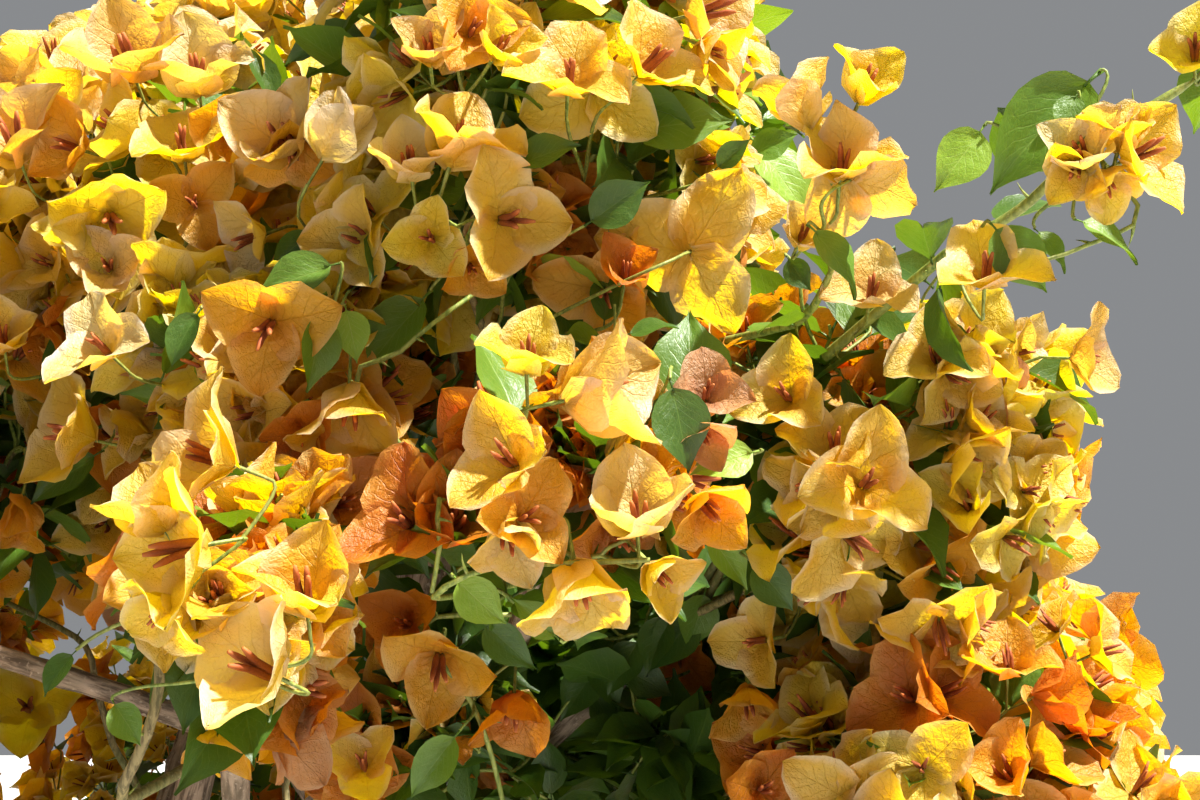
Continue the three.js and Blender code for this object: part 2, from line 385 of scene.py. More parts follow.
def bladeMaterial(name, look, tones):
    # A thin blade that light comes through: what it sends back is paler than what it lets through
    material, tree, output, skin = startMaterial(name)
    uv = addNode(tree, "ShaderNodeUVMap", uv_map="UVMap").outputs[0]
    place = tree.nodes.new("ShaderNodeTexCoord").outputs["Object"]
    veins = addNode(
        tree, "ShaderNodeGroup",
        {"UV": uv, "Side Veins": look["sideVeins"], "Width": look["veinWidth"], "Net Scale": look["net"]},
        node_tree=veinGroup,
    ).outputs
    patches = remap(tree, noiseOf(tree, place, look["patchScale"], 1.0), 0.35, 0.7)
    # towards the rim the face pales to the edge tone; on the bracts this is partly a painted highlight
    tipShare = calculate(tree, "MULTIPLY", veins["Edge"], look["edgeShare"])
    baseShare = remap(tree, veins["Along"], 0.0, 0.3, look["baseShare"], 0.0)
    lines = calculate(tree, "MULTIPLY", veins["Veins"], look["veinShare"])
    veinShare = calculate(tree, "MULTIPLY_ADD", veins["Net"], look["netShare"], lines)
    face, patch, edge, glow, glowPatch, base, vein = (colour(rgb) for rgb in tones)
    face = mixColours(tree, tipShare, mixColours(tree, patches, face, patch), edge)
    glow = mixColours(tree, patches, glow, glowPatch)
    face, glow = (
        mixColours(tree, veinShare, mixColours(tree, baseShare, tone, base), vein) for tone in (face, glow)
    )
    normal = bumpOf(tree, veins["Height"], look["relief"], 0.0012)
    linkAll(tree, skin.inputs, {"Base Color": face, "Normal": normal})
    skin.inputs["Roughness"].default_value = look["roughness"]
    skin.inputs["Specular IOR Level"].default_value = look["gloss"]
    through = addNode(tree, "ShaderNodeBsdfTranslucent", {"Color": glow, "Normal": normal}).outputs[0]
    mix = addNode(tree, "ShaderNodeMixShader", {0: look["through"], 1: skin.outputs[0], 2: through})
    tree.links.new(mix.outputs[0], output.inputs["Surface"])
    return material


def woodMaterial(name, look):
    material, tree, output, skin = startMaterial(name)
    if look["follows"]:
        vector = addNode(tree, "ShaderNodeAttribute", attribute_name="grain").outputs["Vector"]
    else:
        vector = tree.nodes.new("ShaderNodeTexCoord").outputs["Object"]
    grain = addNode(
        tree, "ShaderNodeGroup", {"Vector": vector, "Fineness": look["fineness"]}, node_tree=grainGroup
    ).outputs
    broad = remap(tree, noiseOf(tree, vector, look["patchScale"], 2.0), 0.35, 0.65)
    furrow, ridge, patch, fleck = (colour(rgb) for rgb in look["tones"])
    tone = mixColours(tree, remap(tree, grain["Furrows"], 0.36, 0.62), furrow, ridge)
    tone = mixColours(tree, calculate(tree, "MULTIPLY", broad, look["patchShare"]), tone, patch)
    tone = mixColours(tree, calculate(tree, "MULTIPLY", grain["Flecks"], 0.5), tone, fleck)
    rough = remap(tree, grain["Furrows"], 0.3, 0.7, look["roughness"] + 0.08, look["roughness"] - 0.08)
    normal = bumpOf(tree, grain["Height"], look["relief"], 0.001)
    linkAll(tree, skin.inputs, {"Base Color": tone, "Roughness": rough, "Normal": normal})
    tree.links.new(skin.outputs[0], output.inputs["Surface"])
    return material


# Bracts: one look for all, and the colours of each tone that the sprays are dealt, as red, green and blue:
# face and its patches, edge, the light that comes through and its patches, foot of the blade, and veins.
# The edge is a paler rim, partly the bract's own and partly whitened as a painted highlight
bractLook = {
    "sideVeins": 6.0,
    "veinWidth": 0.035,
    "net": 11.0,
    "patchScale": 34.0,
    # edge share: the rim pales towards the edge tone, partly the bract's own rim and partly a painted
    # highlight
    "edgeShare": 0.72,
    "baseShare": 0.55,
    "veinShare": 0.2,
    "netShare": 0.05,
    "roughness": 0.5,
    "gloss": 0.85,
    "relief": 0.75,
    "through": 0.61,
}
bractTones = {
    "cream": [
        (255, 240, 184), (254, 226, 132), (255, 250, 238), (252, 214, 74),
        (250, 200, 36), (242, 208, 50), (236, 194, 96),
    ],
    "pinkCream": [
        (253, 224, 148), (251, 210, 102), (254, 240, 212), (248, 196, 50),
        (246, 182, 24), (232, 184, 44), (224, 170, 86),
    ],
    "yellow": [
        (255, 230, 98), (254, 220, 58), (255, 246, 200), (255, 226, 2),
        (254, 210, 2), (240, 208, 6), (236, 188, 14),
    ],
    "gold": [
        (253, 216, 100), (251, 202, 62), (255, 242, 206), (255, 214, 4),
        (252, 196, 2), (240, 194, 10), (230, 166, 20),
    ],
    "amber": [
        (249, 192, 62), (243, 174, 38), (253, 222, 144), (252, 182, 3),
        (246, 162, 2), (230, 156, 8), (216, 136, 14),
    ],
    "deepOrange": [
        (230, 148, 34), (218, 126, 24), (240, 176, 78), (238, 144, 3),
        (224, 120, 2), (208, 104, 8), (190, 90, 12),
    ],
    "dried": [
        (224, 174, 124), (208, 148, 96), (236, 200, 156), (214, 142, 70),
        (196, 120, 52), (184, 120, 64), (168, 108, 66),
    ],
}
leafLook = {
    "sideVeins": 8.0,
    "veinWidth": 0.04,
    "net": 16.0,
    "patchScale": 22.0,
    "edgeShare": 0.12,
    "baseShare": 0.2,
    "veinShare": 0.45,
    "netShare": 0.1,
    "roughness": 0.42,
    "gloss": 0.5,
    "relief": 0.26,
    "through": 0.3,
}
# Leaf tones, in the same order of colours: the deepest green is painted shade for leaves deep in the crown,
# the palest is partly the green of new growth and partly painted light on leaves that face up
leafTones = {
    "dark": [
        (54, 84, 26), (66, 98, 30), (92, 120, 46), (110, 144, 14),
        (94, 130, 12), (96, 116, 38), (104, 132, 54),
    ],
    "mid": [
        (84, 120, 36), (100, 134, 40), (128, 154, 66), (138, 174, 20),
        (124, 160, 18), (126, 146, 52), (140, 164, 76),
    ],
    "young": [
        (128, 164, 50), (144, 176, 58), (174, 196, 98), (164, 200, 28),
        (150, 188, 26), (156, 176, 70), (176, 196, 104),
    ],
}
bractMaterials, leafMaterials = (
    {tone: bladeMaterial(f"{kind}_{tone}", look, row) for tone, row in tones.items()}
    for kind, look, tones in (("bract", bractLook, bractTones), ("leaf", leafLook, leafTones))
)

# Wood: tones of the furrows, the ridges between them, patches and flecks
barkLook = {
    "tones": [(78, 62, 50), (168, 146, 124), (122, 108, 84), (196, 176, 152)],
    "patchShare": 0.5, "patchScale": 30.0, "fineness": 1.0,
    "roughness": 0.86, "relief": 0.9, "follows": True,
}
caneLook = {
    "tones": [(86, 74, 44), (150, 132, 86), (104, 116, 52), (176, 160, 116)],
    "patchShare": 0.6, "patchScale": 14.0, "fineness": 1.6,
    "roughness": 0.7, "relief": 0.35, "follows": False,
}
greenLook = {
    "tones": [(92, 116, 40), (150, 164, 72), (128, 122, 58), (178, 176, 110)],
    "patchShare": 0.45, "patchScale": 18.0, "fineness": 1.4,
    "roughness": 0.55, "relief": 0.25, "follows": False,
}
barkMaterial = woodMaterial("bark", barkLook)
caneMaterial = woodMaterial("cane_wood", caneLook)
greenMaterial = woodMaterial("green_shoot", greenLook)

tubeLook = {
    "tones": [  # from foot to tip
        (0.0, (150, 124, 40)), (0.22, (146, 78, 26)), (0.62, (122, 52, 18)),
        (0.86, (152, 72, 24)), (1.0, (190, 108, 44)),
    ],
    "fuzz": (164, 92, 42),
    "fuzzShare": 0.35,
    "fuzzScale": 900.0,
    "roughness": 0.7,
}


def makeTubeMaterial(look):
    # The slender closed flowers between the bracts: green foot, rusty middle, orange tip
    material, tree, output, skin = startMaterial("flower_tube")
    uv = addNode(tree, "ShaderNodeUVMap", uv_map="UVMap").outputs[0]
    parts = addNode(tree, "ShaderNodeSeparateXYZ", {0: uv}).outputs
    ramp = addNode(tree, "ShaderNodeValToRGB", {0: parts[1]})
    stops = ramp.color_ramp.elements
    stops[0].color, stops[1].color = colour(look["tones"][0][1]), colour(look["tones"][-1][1])
    for spot, rgb in look["tones"][1:-1]:
        stops.new(spot).color = colour(rgb)
    place = tree.nodes.new("ShaderNodeTexCoord").outputs["Object"]
    fuzz = noiseOf(tree, place, look["fuzzScale"], 2.0)
    fuzzShare = remap(tree, fuzz, 0.4, 0.7, 0.0, look["fuzzShare"])
    tone = mixColours(tree, fuzzShare, ramp.outputs[0], colour(look["fuzz"]))
    linkAll(tree, skin.inputs, {"Base Color": tone, "Normal": bumpOf(tree, fuzz, 0.3, 0.0004)})
    skin.inputs["Roughness"].default_value = look["roughness"]
    tree.links.new(skin.outputs[0], output.inputs["Surface"])
    return material


tubeMaterial = makeTubeMaterial(tubeLook)
print("materials: made")


# Geometry trees

def attributeIn(tree, name, kind):
    node = addNode(tree, "GeometryNodeInputNamedAttribute", {"Name": name}, data_type=kind)
    return node.outputs["Attribute"]


def endTree(tree, geometry, material, made):
    real = addNode(tree, "GeometryNodeRealizeInstances", {0: geometry})
    paint = addNode(tree, "GeometryNodeSetMaterial", {"Geometry": real.outputs[0], "Material": material})
    tree.links.new(paint.outputs[0], made[0])
    return tree


def makeScatter():
    # Puts one of the forms of a collection on each point, turned and sized by the point's attributes
    tree, given, made = groupOf(
        "scatterForms", "GeometryNodeTree",
        [("Geometry", "Geometry", None), ("Forms", "Collection", None), ("Size", "Float", 1.0),
         ("Size Spread", "Float", 0.0), ("Seed", "Int", 7), ("Material", "Material", None)],
        [("Geometry", "Geometry")],
    )
    forms = addNode(
        tree, "GeometryNodeCollectionInfo",
        {"Separate Children": True, "Reset Children": True, "Collection": given["Forms"]},
    )
    axes = {
        "Primary Axis": attributeIn(tree, "facing", "FLOAT_VECTOR"),
        "Secondary Axis": attributeIn(tree, "side", "FLOAT_VECTOR"),
    }
    turn = addNode(tree, "FunctionNodeAxesToRotation", axes, primary_axis="Z", secondary_axis="X")
    low = calculate(tree, "SUBTRACT", 1.0, given["Size Spread"])
    high = calculate(tree, "ADD", given["Size Spread"], 1.0)
    limits = {2: low, 3: high, "Seed": given["Seed"]}
    spread = addNode(tree, "FunctionNodeRandomValue", limits, data_type="FLOAT")
    size = calculate(tree, "MULTIPLY", attributeIn(tree, "span", "FLOAT"), given["Size"])
    size = calculate(tree, "MULTIPLY", size, spread.outputs[1])
    put = addNode(tree, "GeometryNodeInstanceOnPoints", {
        "Points": given["Geometry"],
        "Instance": forms.outputs[0],
        "Pick Instance": True,
        "Instance Index": attributeIn(tree, "form", "INT"),
        "Rotation": turn.outputs[0],
        "Scale": size,
    })
    return endTree(tree, put.outputs[0], given["Material"], made)


def makeCanes():
    # Turns drawn paths into round wood as thick as the attribute on their points says
    tree, given, made = groupOf(
        "canesOnPaths", "GeometryNodeTree",
        [("Geometry", "Geometry", None), ("Sides", "Int", 5), ("Thickness", "Float", 1.0),
         ("Material", "Material", None)],
        [("Geometry", "Geometry")],
    )
    curve = addNode(tree, "GeometryNodeMeshToCurve", {"Mesh": given["Geometry"]})
    ring = addNode(tree, "GeometryNodeCurvePrimitiveCircle", {"Resolution": given["Sides"], "Radius": 1.0})
    width = calculate(tree, "MULTIPLY", attributeIn(tree, "thickness", "FLOAT"), given["Thickness"])
    sweep = addNode(tree, "GeometryNodeCurveToMesh", {
        "Curve": curve.outputs[0], "Profile Curve": ring.outputs[0], "Fill Caps": True, "Scale": width,
    })
    smooth = addNode(tree, "GeometryNodeSetShadeSmooth", {"Geometry": sweep.outputs[0]})
    return endTree(tree, smooth.outputs[0], given["Material"], made)


scatterTree, canesTree = makeScatter(), makeCanes()


def growFrom(name, mesh, tree, **values):
    # the tree's result as a plain mesh, with the modifier and the spare attributes gone
    piece = addPiece(name, mesh)
    modifier = piece.modifiers.new("grow", "NODES")
    modifier.node_group = tree
    for item in tree.interface.items_tree:
        if item.item_type == "SOCKET" and item.in_out == "INPUT" and item.name.replace(" ", "_") in values:
            modifier[item.identifier] = values[item.name.replace(" ", "_")]
    graph = bpy.context.evaluated_depsgraph_get()
    result = bpy.data.meshes.new_from_object(piece.evaluated_get(graph))
    piece.modifiers.clear()
    piece.data = result
    bpy.data.meshes.remove(mesh)
    for label in ("facing", "side", "span", "form", "thickness"):
        spare = result.attributes.get(label)
        if spare:
            result.attributes.remove(spare)
    result.name = name
    return piece


def pointMesh(rows, pick):
    mesh = bpy.data.meshes.new("points")
    mesh.vertices.add(len(pick))
    fill(mesh.vertices, "co", np.array(rows["place"])[pick])
    for label, kind, slot, number in (
        ("facing", "FLOAT_VECTOR", "vector", np.float32), ("side", "FLOAT_VECTOR", "vector", np.float32),
        ("span", "FLOAT", "value", np.float32), ("form", "INT", "value", np.int32),
    ):
        fill(mesh.attributes.new(label, kind, "POINT").data, slot, np.array(rows[label])[pick], number)
    return mesh


def pathMesh(pairs):
    # from pairs of a path and its thicknesses
    counts = np.array([len(path) for path, _ in pairs])
    first = np.r_[0, np.cumsum(counts)[:-1]]
    starts = np.concatenate([np.arange(f, f + n - 1) for f, n in zip(first, counts)])
    mesh = bpy.data.meshes.new("paths")
    mesh.vertices.add(counts.sum())
    fill(mesh.vertices, "co", np.vstack([path for path, _ in pairs]))
    mesh.edges.add(len(starts))
    fill(mesh.edges, "vertices", np.column_stack([starts, starts + 1]), np.int32)
    thickness = mesh.attributes.new("thickness", "FLOAT", "POINT")
    fill(thickness.data, "value", np.concatenate([width for _, width in pairs]))
    return mesh


# Blades: bracts and leaves are the same sheet with their own numbers

def bladeSheet(rows, columns, form):
    t = np.linspace(0, 1, rows + 1)
    t = (0.55 * t + 0.45 * (0.5 - 0.5 * np.cos(math.pi * t)))[:, None]
    s = np.linspace(-1, 1, columns + 1)[None, :]
    power = form["shoulder"] + (form["taper"] - form["shoulder"]) * t
    half = 0.5 * form["width"] * np.sin(math.pi * np.clip(t, 1e-4, 1 - 1e-4) ** form["broadest"]) ** power
    half = np.maximum(half, 0.006)
    # the midrib bends away from its start
    fine = np.linspace(0, 1, 60)
    angle = form["curlStart"] * fine + form["curlEnd"] * fine**2
    along, up = (np.interp(t, fine, np.r_[0, np.cumsum(step(angle[:-1]))] / 59) for step in (np.cos, np.sin))
    lean = form["curlStart"] * t + form["curlEnd"] * t**2
    # out of the blade: cupped sides, wavy margins, pleats between the side veins, a groove and crumples
    lift = form["cup"] * half * s**2 * (1 - form["cupFade"] * t)
    wave = fullTurn * (form["waves"] * t + form["phase"] + np.where(s > 0, 0.37, 0.0))
    lift = lift + form["ruffle"] * np.abs(s) ** 1.8 * np.sin(wave) * np.sin(math.pi * t) ** 0.4
    lift = lift + form["pleat"] * np.cos(fullTurn * form["ribs"] * (t - 0.3 * np.abs(s))) * np.abs(s) ** 0.6
    lift = lift - form["groove"] * np.exp(-(s / 0.16) ** 2)
    wave = fullTurn * (1.6 * t + 0.7 * s + form["phase"])
    lift = lift + form["crumple"] * np.sin(wave) * np.cos(fullTurn * (0.8 * t - 1.1 * s + 2 * form["phase"]))
    back = form["lobe"] * np.abs(s) ** 1.7 * (1 - t) ** 3
    turn = form["twist"] * t
    x = s * half
    wide = x * np.cos(turn) - lift * np.sin(turn)
    lift = x * np.sin(turn) + lift * np.cos(turn)
    y = along - back * np.cos(lean) - lift * np.sin(lean)
    z = up - back * np.sin(lean) + lift * np.cos(lean)
    points = np.stack(np.broadcast_arrays(wide, y, z), axis=-1).reshape(-1, 3)
    uvs = np.stack(np.broadcast_arrays(0.5 + 0.5 * s, t), axis=-1).reshape(-1, 2)
    n = columns + 1
    corners = [i for r in range(rows) for i in range(r * n, r * n + columns)]
    return points, uvs, [(i, i + 1, i + n + 1, i + n) for i in corners]


def turnedTube(path, radii, sides):
    # a closed round tube with its U round it and its V along it
    _, a, b = ringFrames(path)
    angle = np.linspace(0, fullTurn, sides, endpoint=False)
    rings = ringsRound(path, radii[:, None], angle, a, b)
    rows = len(path)
    uvs = np.column_stack([np.tile(angle / fullTurn, rows), np.repeat(np.linspace(0, 1, rows), sides)])
    points = np.vstack([rings, path[:1], path[-1:]])
    return points, np.vstack([uvs, [[0.5, 0.0], [0.5, 1.0]]]), ringFaces(rows, sides)


# Flowers: three bracts in a cup and three slender tubes in its middle. Sizes are shares of a bract's length.
bractForm = {
    "width": 0.94,
    "broadest": 0.74,
    "shoulder": 0.42,
    "taper": 0.76,
    "lobe": 0.1,
    "cupFade": 0.5,
    "ruffle": 0.07,
    "waves": 1.7,
    "ribs": 5.0,
    "pleat": 0.008,
    "groove": 0.024,
    "crumple": 0.03,
}
tubeForm = {
    "length": 0.54,
    "lean": 0.12,
    "radii": [  # share of the length and radius there
        (0.0, 0.024), (0.1, 0.04), (0.3, 0.05), (0.52, 0.037), (0.78, 0.035), (0.92, 0.046), (1.0, 0.02),
    ],
}
flowerLevels = {
    "near": {
        "rows": 10, "columns": 6, "tubeSides": 5, "tubeRows": 6,
        "opens": [20, 32, 44, 56, 68, 80], "seeds": 2,
    },
    "middle": {"rows": 7, "columns": 4, "tubeSides": 3, "tubeRows": 4, "opens": [28, 48, 68], "seeds": 2},
    "far": {"rows": 4, "columns": 2, "tubeSides": 3, "tubeRows": 2, "opens": [36, 60], "seeds": 2},
}


def makeFlower(level, opening, seed):
    draw = np.random.default_rng(seed)
    axis = np.array((0.0, 0.0, 1.0))
    profile = np.array(tubeForm["radii"])
    bracts, tubes = [], []
    for k in range(3):
        turn = fullTurn * k / 3 + draw.uniform(-0.14, 0.14)
        tilt = math.radians(opening + draw.uniform(-7, 7))
        outward = np.array((math.cos(turn), math.sin(turn), 0.0))
        cupped = max(0.0, math.cos(tilt))
        form = dict(
            bractForm,
            cup=0.15 + 0.75 * cupped**1.5 + draw.uniform(-0.08, 0.08),
            curlStart=draw.uniform(-0.3, 0.35) - 0.1 * cupped,
            curlEnd=draw.uniform(-1.05, 0.2),
            ruffle=bractForm["ruffle"] * draw.uniform(0.5, 1.6),
            phase=draw.uniform(0, 1),
            twist=draw.uniform(-0.3, 0.3),
            width=bractForm["width"] * draw.uniform(0.9, 1.06),
        )
        points, uvs, faces = bladeSheet(level["rows"], level["columns"], form)
        points = points * draw.uniform(0.9, 1.04)
        rib = math.sin(tilt) * outward + math.cos(tilt) * axis
        inner = -math.cos(tilt) * outward + math.sin(tilt) * axis
        foot = (0.03 + 0.012 * k) * outward
        bracts.append((foot + points @ np.array([np.cross(rib, inner), rib, inner]), uvs, faces))
        heading = unit(outward * (tubeForm["lean"] + draw.uniform(-0.08, 0.12)) + axis)
        share = np.linspace(0, 1, level["tubeRows"])
        length = tubeForm["length"] * draw.uniform(0.88, 1.08)
        bow = draw.uniform(-0.05, 0.05) * np.sin(math.pi * share)
        path = 0.035 * outward + heading * (share * length)[:, None] + outward * bow[:, None]
        tubes.append(turnedTube(path, np.interp(share, profile[:, 0], profile[:, 1]), level["tubeSides"]))
    return joined(bracts), joined(tubes)


def addForm(shapes, label, form):
    points, uvs, faces = form
    shapes.objects.link(bpy.data.objects.new(label, meshOf(label, points, faces, uvs)))


def pickForm(forms, levelName, draw, opening=0):
    near = min(abs(o - opening) for name, o, _ in forms if name == levelName)
    fits = [i for name, o, i in forms if name == levelName and abs(o - opening) <= near + 0.1]
    return fits[int(draw.integers(len(fits)))]


bractShapes, tubeShapes, leafShapes = (
    bpy.data.collections.new(label) for label in ("bractShapes", "tubeShapes", "leafShapes")
)
flowerForms = []  # level, opening and index, in the order that the nodes pick them
for levelName, level in flowerLevels.items():
    for opening in level["opens"]:
        for seed in range(level["seeds"]):
            index = len(flowerForms)
            bracts, tubes = makeFlower(level, opening, 100 + 10 * index + seed)
            addForm(bractShapes, f"bractsForm{index:02d}", bracts)
            addForm(tubeShapes, f"tubesForm{index:02d}", tubes)
            flowerForms.append((levelName, opening, index))

# Leaves: pointed ovals with a short stalk
leafForm = {
    "width": 0.62,
    "broadest": 0.74,
    "shoulder": 0.72,
    "taper": 1.5,
    "lobe": 0.02,
    "cupFade": 0.3,
    "waves": 1.3,
    "ribs": 6.0,
    "pleat": 0.006,
    "groove": 0.03,
    "crumple": 0.012,
}
leafStalk = {
    "path": ((0.0, -0.02, -0.03), (0.0, 0.06, -0.012), (0.0, 0.16, -0.004)),
    "radii": (0.022, 0.014, 0.012),
}
leafLevels = {
    "near": {"rows": 10, "columns": 6, "stalkSides": 5, "seeds": 5},
    "middle": {"rows": 6, "columns": 4, "stalkSides": 3, "seeds": 3},
    "far": {"rows": 3, "columns": 2, "stalkSides": 0, "seeds": 3},
}
leafForms = []
for levelName, level in leafLevels.items():
    for seed in range(level["seeds"]):
        draw = np.random.default_rng(500 + seed)
        form = dict(
            leafForm,
            cup=draw.uniform(0.1, 0.55),
            curlStart=draw.uniform(-0.1, 0.25),
            curlEnd=draw.uniform(-1.3, -0.3),
            ruffle=draw.uniform(0.01, 0.04),
            phase=draw.uniform(0, 1),
            twist=draw.uniform(-0.35, 0.35),
            width=leafForm["width"] * draw.uniform(0.88, 1.2),
        )
        points, uvs, faces = bladeSheet(level["rows"], level["columns"], form)
        parts = [(points + (0.0, 0.14, 0.0), uvs, faces)]
        if level["stalkSides"]:
            stalk, radii = np.array(leafStalk["path"]), np.array(leafStalk["radii"])
            parts.append(turnedTube(stalk, radii, level["stalkSides"]))
        addForm(leafShapes, f"leafForm{len(leafForms):02d}", joined(parts))
        leafForms.append((levelName, 0, len(leafForms)))
print("forms:", len(flowerForms), "flowers and", len(leafForms), "leaves")


# Limbs: their middle lines and thicknesses are read off the CAD solids

def shellOf(name):
    mesh = nodes[name].data
    points = np.empty(3 * len(mesh.vertices))
    mesh.vertices.foreach_get("co", points)
    matrix = np.array(nodes[name].matrix_world)
    points = points.reshape(-1, 3) @ matrix[:3, :3].T + matrix[:3, 3]
    mesh.calc_loop_triangles()
    triangles = np.empty(3 * len(mesh.loop_triangles), np.int32)
    mesh.loop_triangles.foreach_get("vertices", triangles)
    return points, triangles.reshape(-1, 3)


def skinOf(points, triangles):
    return BVHTree.FromPolygons([Vector(p) for p in points], triangles.tolist())


def limbLine(name, count=14):
    # the solid is cut across at even steps; each cut gives a middle and a mean radius
    points, triangles = shellOf(name)
    middle = points.mean(axis=0)
    axis = np.linalg.svd(points - middle, full_matrices=False)[2][0]
    along = (points - middle) @ axis
    low, high = along.min(), along.max()
    edges = np.vstack([triangles[:, [0, 1]], triangles[:, [1, 2]], triangles[:, [2, 0]]])
    rows = []
    for cut in np.linspace(low + 0.03 * (high - low), high - 0.03 * (high - low), count):
        first, second = along[edges[:, 0]] - cut, along[edges[:, 1]] - cut
        crossed = first * second < 0
        share = (first / np.where(first == second, 1.0, first - second))[crossed, None]
        spots = points[edges[crossed, 0]] * (1 - share) + points[edges[crossed, 1]] * share
        centre = spots.mean(axis=0)
        rows.append([*centre, np.linalg.norm(spots - centre, axis=1).mean()])
    rows = np.array(rows)
    return rows[:, :3], rows[:, 3]


woodShape = {
    "fork": (0.014, -0.012, 0.12),
    "middle": (0.05, -0.05, 0.85),
    "fullness": 1.06,
    "ringGap": 0.007,
    "furrowDepth": 0.07,
    "fineDepth": 0.035,
    "knuckleGap": 0.085,
    "knuckleHeight": 0.16,
    "knuckleLength": 0.008,
    "stemSides": 20,
    "boughSides": 14,
    "shootSides": 8,
    "shootStart": 0.06,
}
crownMiddle = np.array(woodShape["middle"])
limbs = {}


def rootedAt(path, radii, spots):
    # the limb from its foot on: the foot is the end nearer to one of the spots, and starts there
    away = [min(apart(spot, path[end]) for spot in spots) for end in (0, -1)]
    if away[1] < away[0]:
        path, radii = path[::-1], radii[::-1]
    start = min(spots, key=lambda spot: apart(spot, path[0]))
    if apart(start, path[0]) < 0.004:
        return path, radii
    return np.vstack([start, path]), np.r_[radii[0] * 1.05, radii]


for name in stemNames + [name for name in limbNames if name not in stemNames]:
    path, radii = limbLine(name)
    radii = np.sort(radii)[::-1] * woodShape["fullness"]  # limbs only get thinner outwards
    if name in stemNames:
        limbs[name] = rootedAt(path, radii, [np.array(woodShape["fork"])])
    elif name in boughNames:
        lines = [smoothPath(limbs[stem][0], 80) for stem in stemNames]
        spots = [nearestOn(line, path[end]) for line in lines for end in (0, -1)]
        limbs[name] = rootedAt(path, radii, spots)
    else:
        if apart(path[-1], crownMiddle) < apart(path[0], crownMiddle):
            path = path[::-1]
        start = path[0] - woodShape["shootStart"] * unit(path[1] - path[0])
        limbs[name] = (np.vstack([start, path]), np.r_[radii[0] * 1.05, radii])


def furrowed(grain, shape, scales, seeds):
    furrows = softNoise(grain * (1, 1, 0.2), scales[0], seeds[0])
    fine = softNoise(grain * (1, 1, 0.3), scales[1], seeds[1])
    return shape["furrowDepth"] * furrows + shape["fineDepth"] * fine


def reliefTube(path, radii, sides, seed):
    draw = np.random.default_rng(seed)
    length = pathLength(path)
    rows = max(8, int(length / woodShape["ringGap"]))
    line = smoothPath(path, rows)
    thick = evenly(path, radii, rows)
    tangents, a, b = ringFrames(line)
    angle = np.linspace(0, fullTurn, sides, endpoint=False)
    down = np.linspace(0, length, rows)
    across, side = np.cos(angle) * thick[:, None], np.sin(angle) * thick[:, None]
    grain = np.stack(np.broadcast_arrays(across, side, down[:, None]), axis=-1).reshape(-1, 3)
    push = furrowed(grain, woodShape, (42.0, 150.0), (seed, seed + 1)).reshape(rows, sides)
    spot = draw.uniform(0.3, 1.0) * woodShape["knuckleGap"]
    while spot < length - 0.01:
        off = np.abs(((angle - draw.uniform(0, fullTurn) + math.pi) % fullTurn) - math.pi)
        bump = np.exp(-((down - spot) / woodShape["knuckleLength"]) ** 2)[:, None]
        push = push + woodShape["knuckleHeight"] * bump * (0.35 + 0.65 * np.exp(-((off / 0.7) ** 2)))[None, :]
        spot += draw.uniform(0.6, 1.3) * woodShape["knuckleGap"]
    ends = np.minimum(1.0, np.arange(rows)[::-1] / 2.0 + 0.35)[:, None]  # the last rings draw in
    rings = ringsRound(line, thick[:, None] * (1 + push) * ends, angle, a, b)
    points = np.vstack([rings, line[:1], line[-1:] + 0.3 * thick[-1] * tangents[-1:]])
    return points, np.vstack([grain, [[0.0, 0.0, 0.0], [0.0, 0.0, length]]]), ringFaces(rows, sides)


# Trunk: rays from its middle line find the solid's outline, and furrows are cut into that
trunkShape = {
    "rings": 46, "sides": 56, "furrowDepth": 0.055, "fineDepth": 0.02, "topShare": 0.985, "swell": 1.01,
}


def reliefTrunk():
    count, sides = trunkShape["rings"], trunkShape["sides"]
    points, triangles = shellOf("trunk")
    skin = skinOf(points, triangles)
    top = points[:, 2].max()
    angle = np.linspace(0, fullTurn, sides, endpoint=False)
    circle = np.column_stack([np.cos(angle), np.sin(angle), np.zeros(sides)])
    fork = np.array(woodShape["fork"])
    middles, reaches, grain = [], [], []
    for height in top * trunkShape["topShare"] * np.linspace(0, 1, count) ** 0.92:
        middle = np.array([fork[0] * height / fork[2], fork[1] * height / fork[2], max(height, 0.0015)])
        spots = [skin.ray_cast(Vector(middle), Vector(heading))[0] for heading in circle]
        reach = np.array([(spot - Vector(middle)).length if spot else 0.004 for spot in spots])
        reach = reach * trunkShape["swell"]
        middles.append((middle[0], middle[1], height))
        reaches.append(reach)
        grain.append(circle * reach[:, None] + (0, 0, height))
    grain = np.vstack(grain)
    push = furrowed(grain, trunkShape, (38.0, 130.0), (71, 72)).reshape(count, sides)
    middles = np.array(middles)
    rings = middles[:, None] + (np.array(reaches) * (1 + push))[..., None] * circle
    vertices = np.vstack([rings.reshape(-1, 3), [[0.0, 0.0, 0.0], [middles[-1, 0], middles[-1, 1], top]]])
    return vertices, np.vstack([grain, [[0.0, 0.0, 0.0], [0.0, 0.0, top]]]), ringFaces(count, sides)


def woodPiece(name, tubes, material, replaced):
    points, grain, faces = joined(tubes)
    piece = addPiece(name, meshOf(name, points, faces, grain=grain))
    piece.data.materials.append(material)
    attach(piece, "root")
    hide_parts(*replaced)


def tubesOf(names, sides, seed):
    return [reliefTube(*limbs[name], sides, seed + i) for i, name in enumerate(names)]


stems = [reliefTrunk()] + tubesOf(stemNames, woodShape["stemSides"], 20)
boughs = tubesOf(boughNames, woodShape["boughSides"], 40)
shoots = tubesOf(shootNames, woodShape["shootSides"], 70)
woodPiece("trunk_and_stems", stems, barkMaterial, ["trunk"] + stemNames)
woodPiece("boughs_wood", boughs, barkMaterial, boughNames)
woodPiece("shoots_wood", shoots, greenMaterial, shootNames)
print("wood: trunk,", len(stemNames), "stems,", len(boughNames), "boughs and", len(shootNames), "shoots")


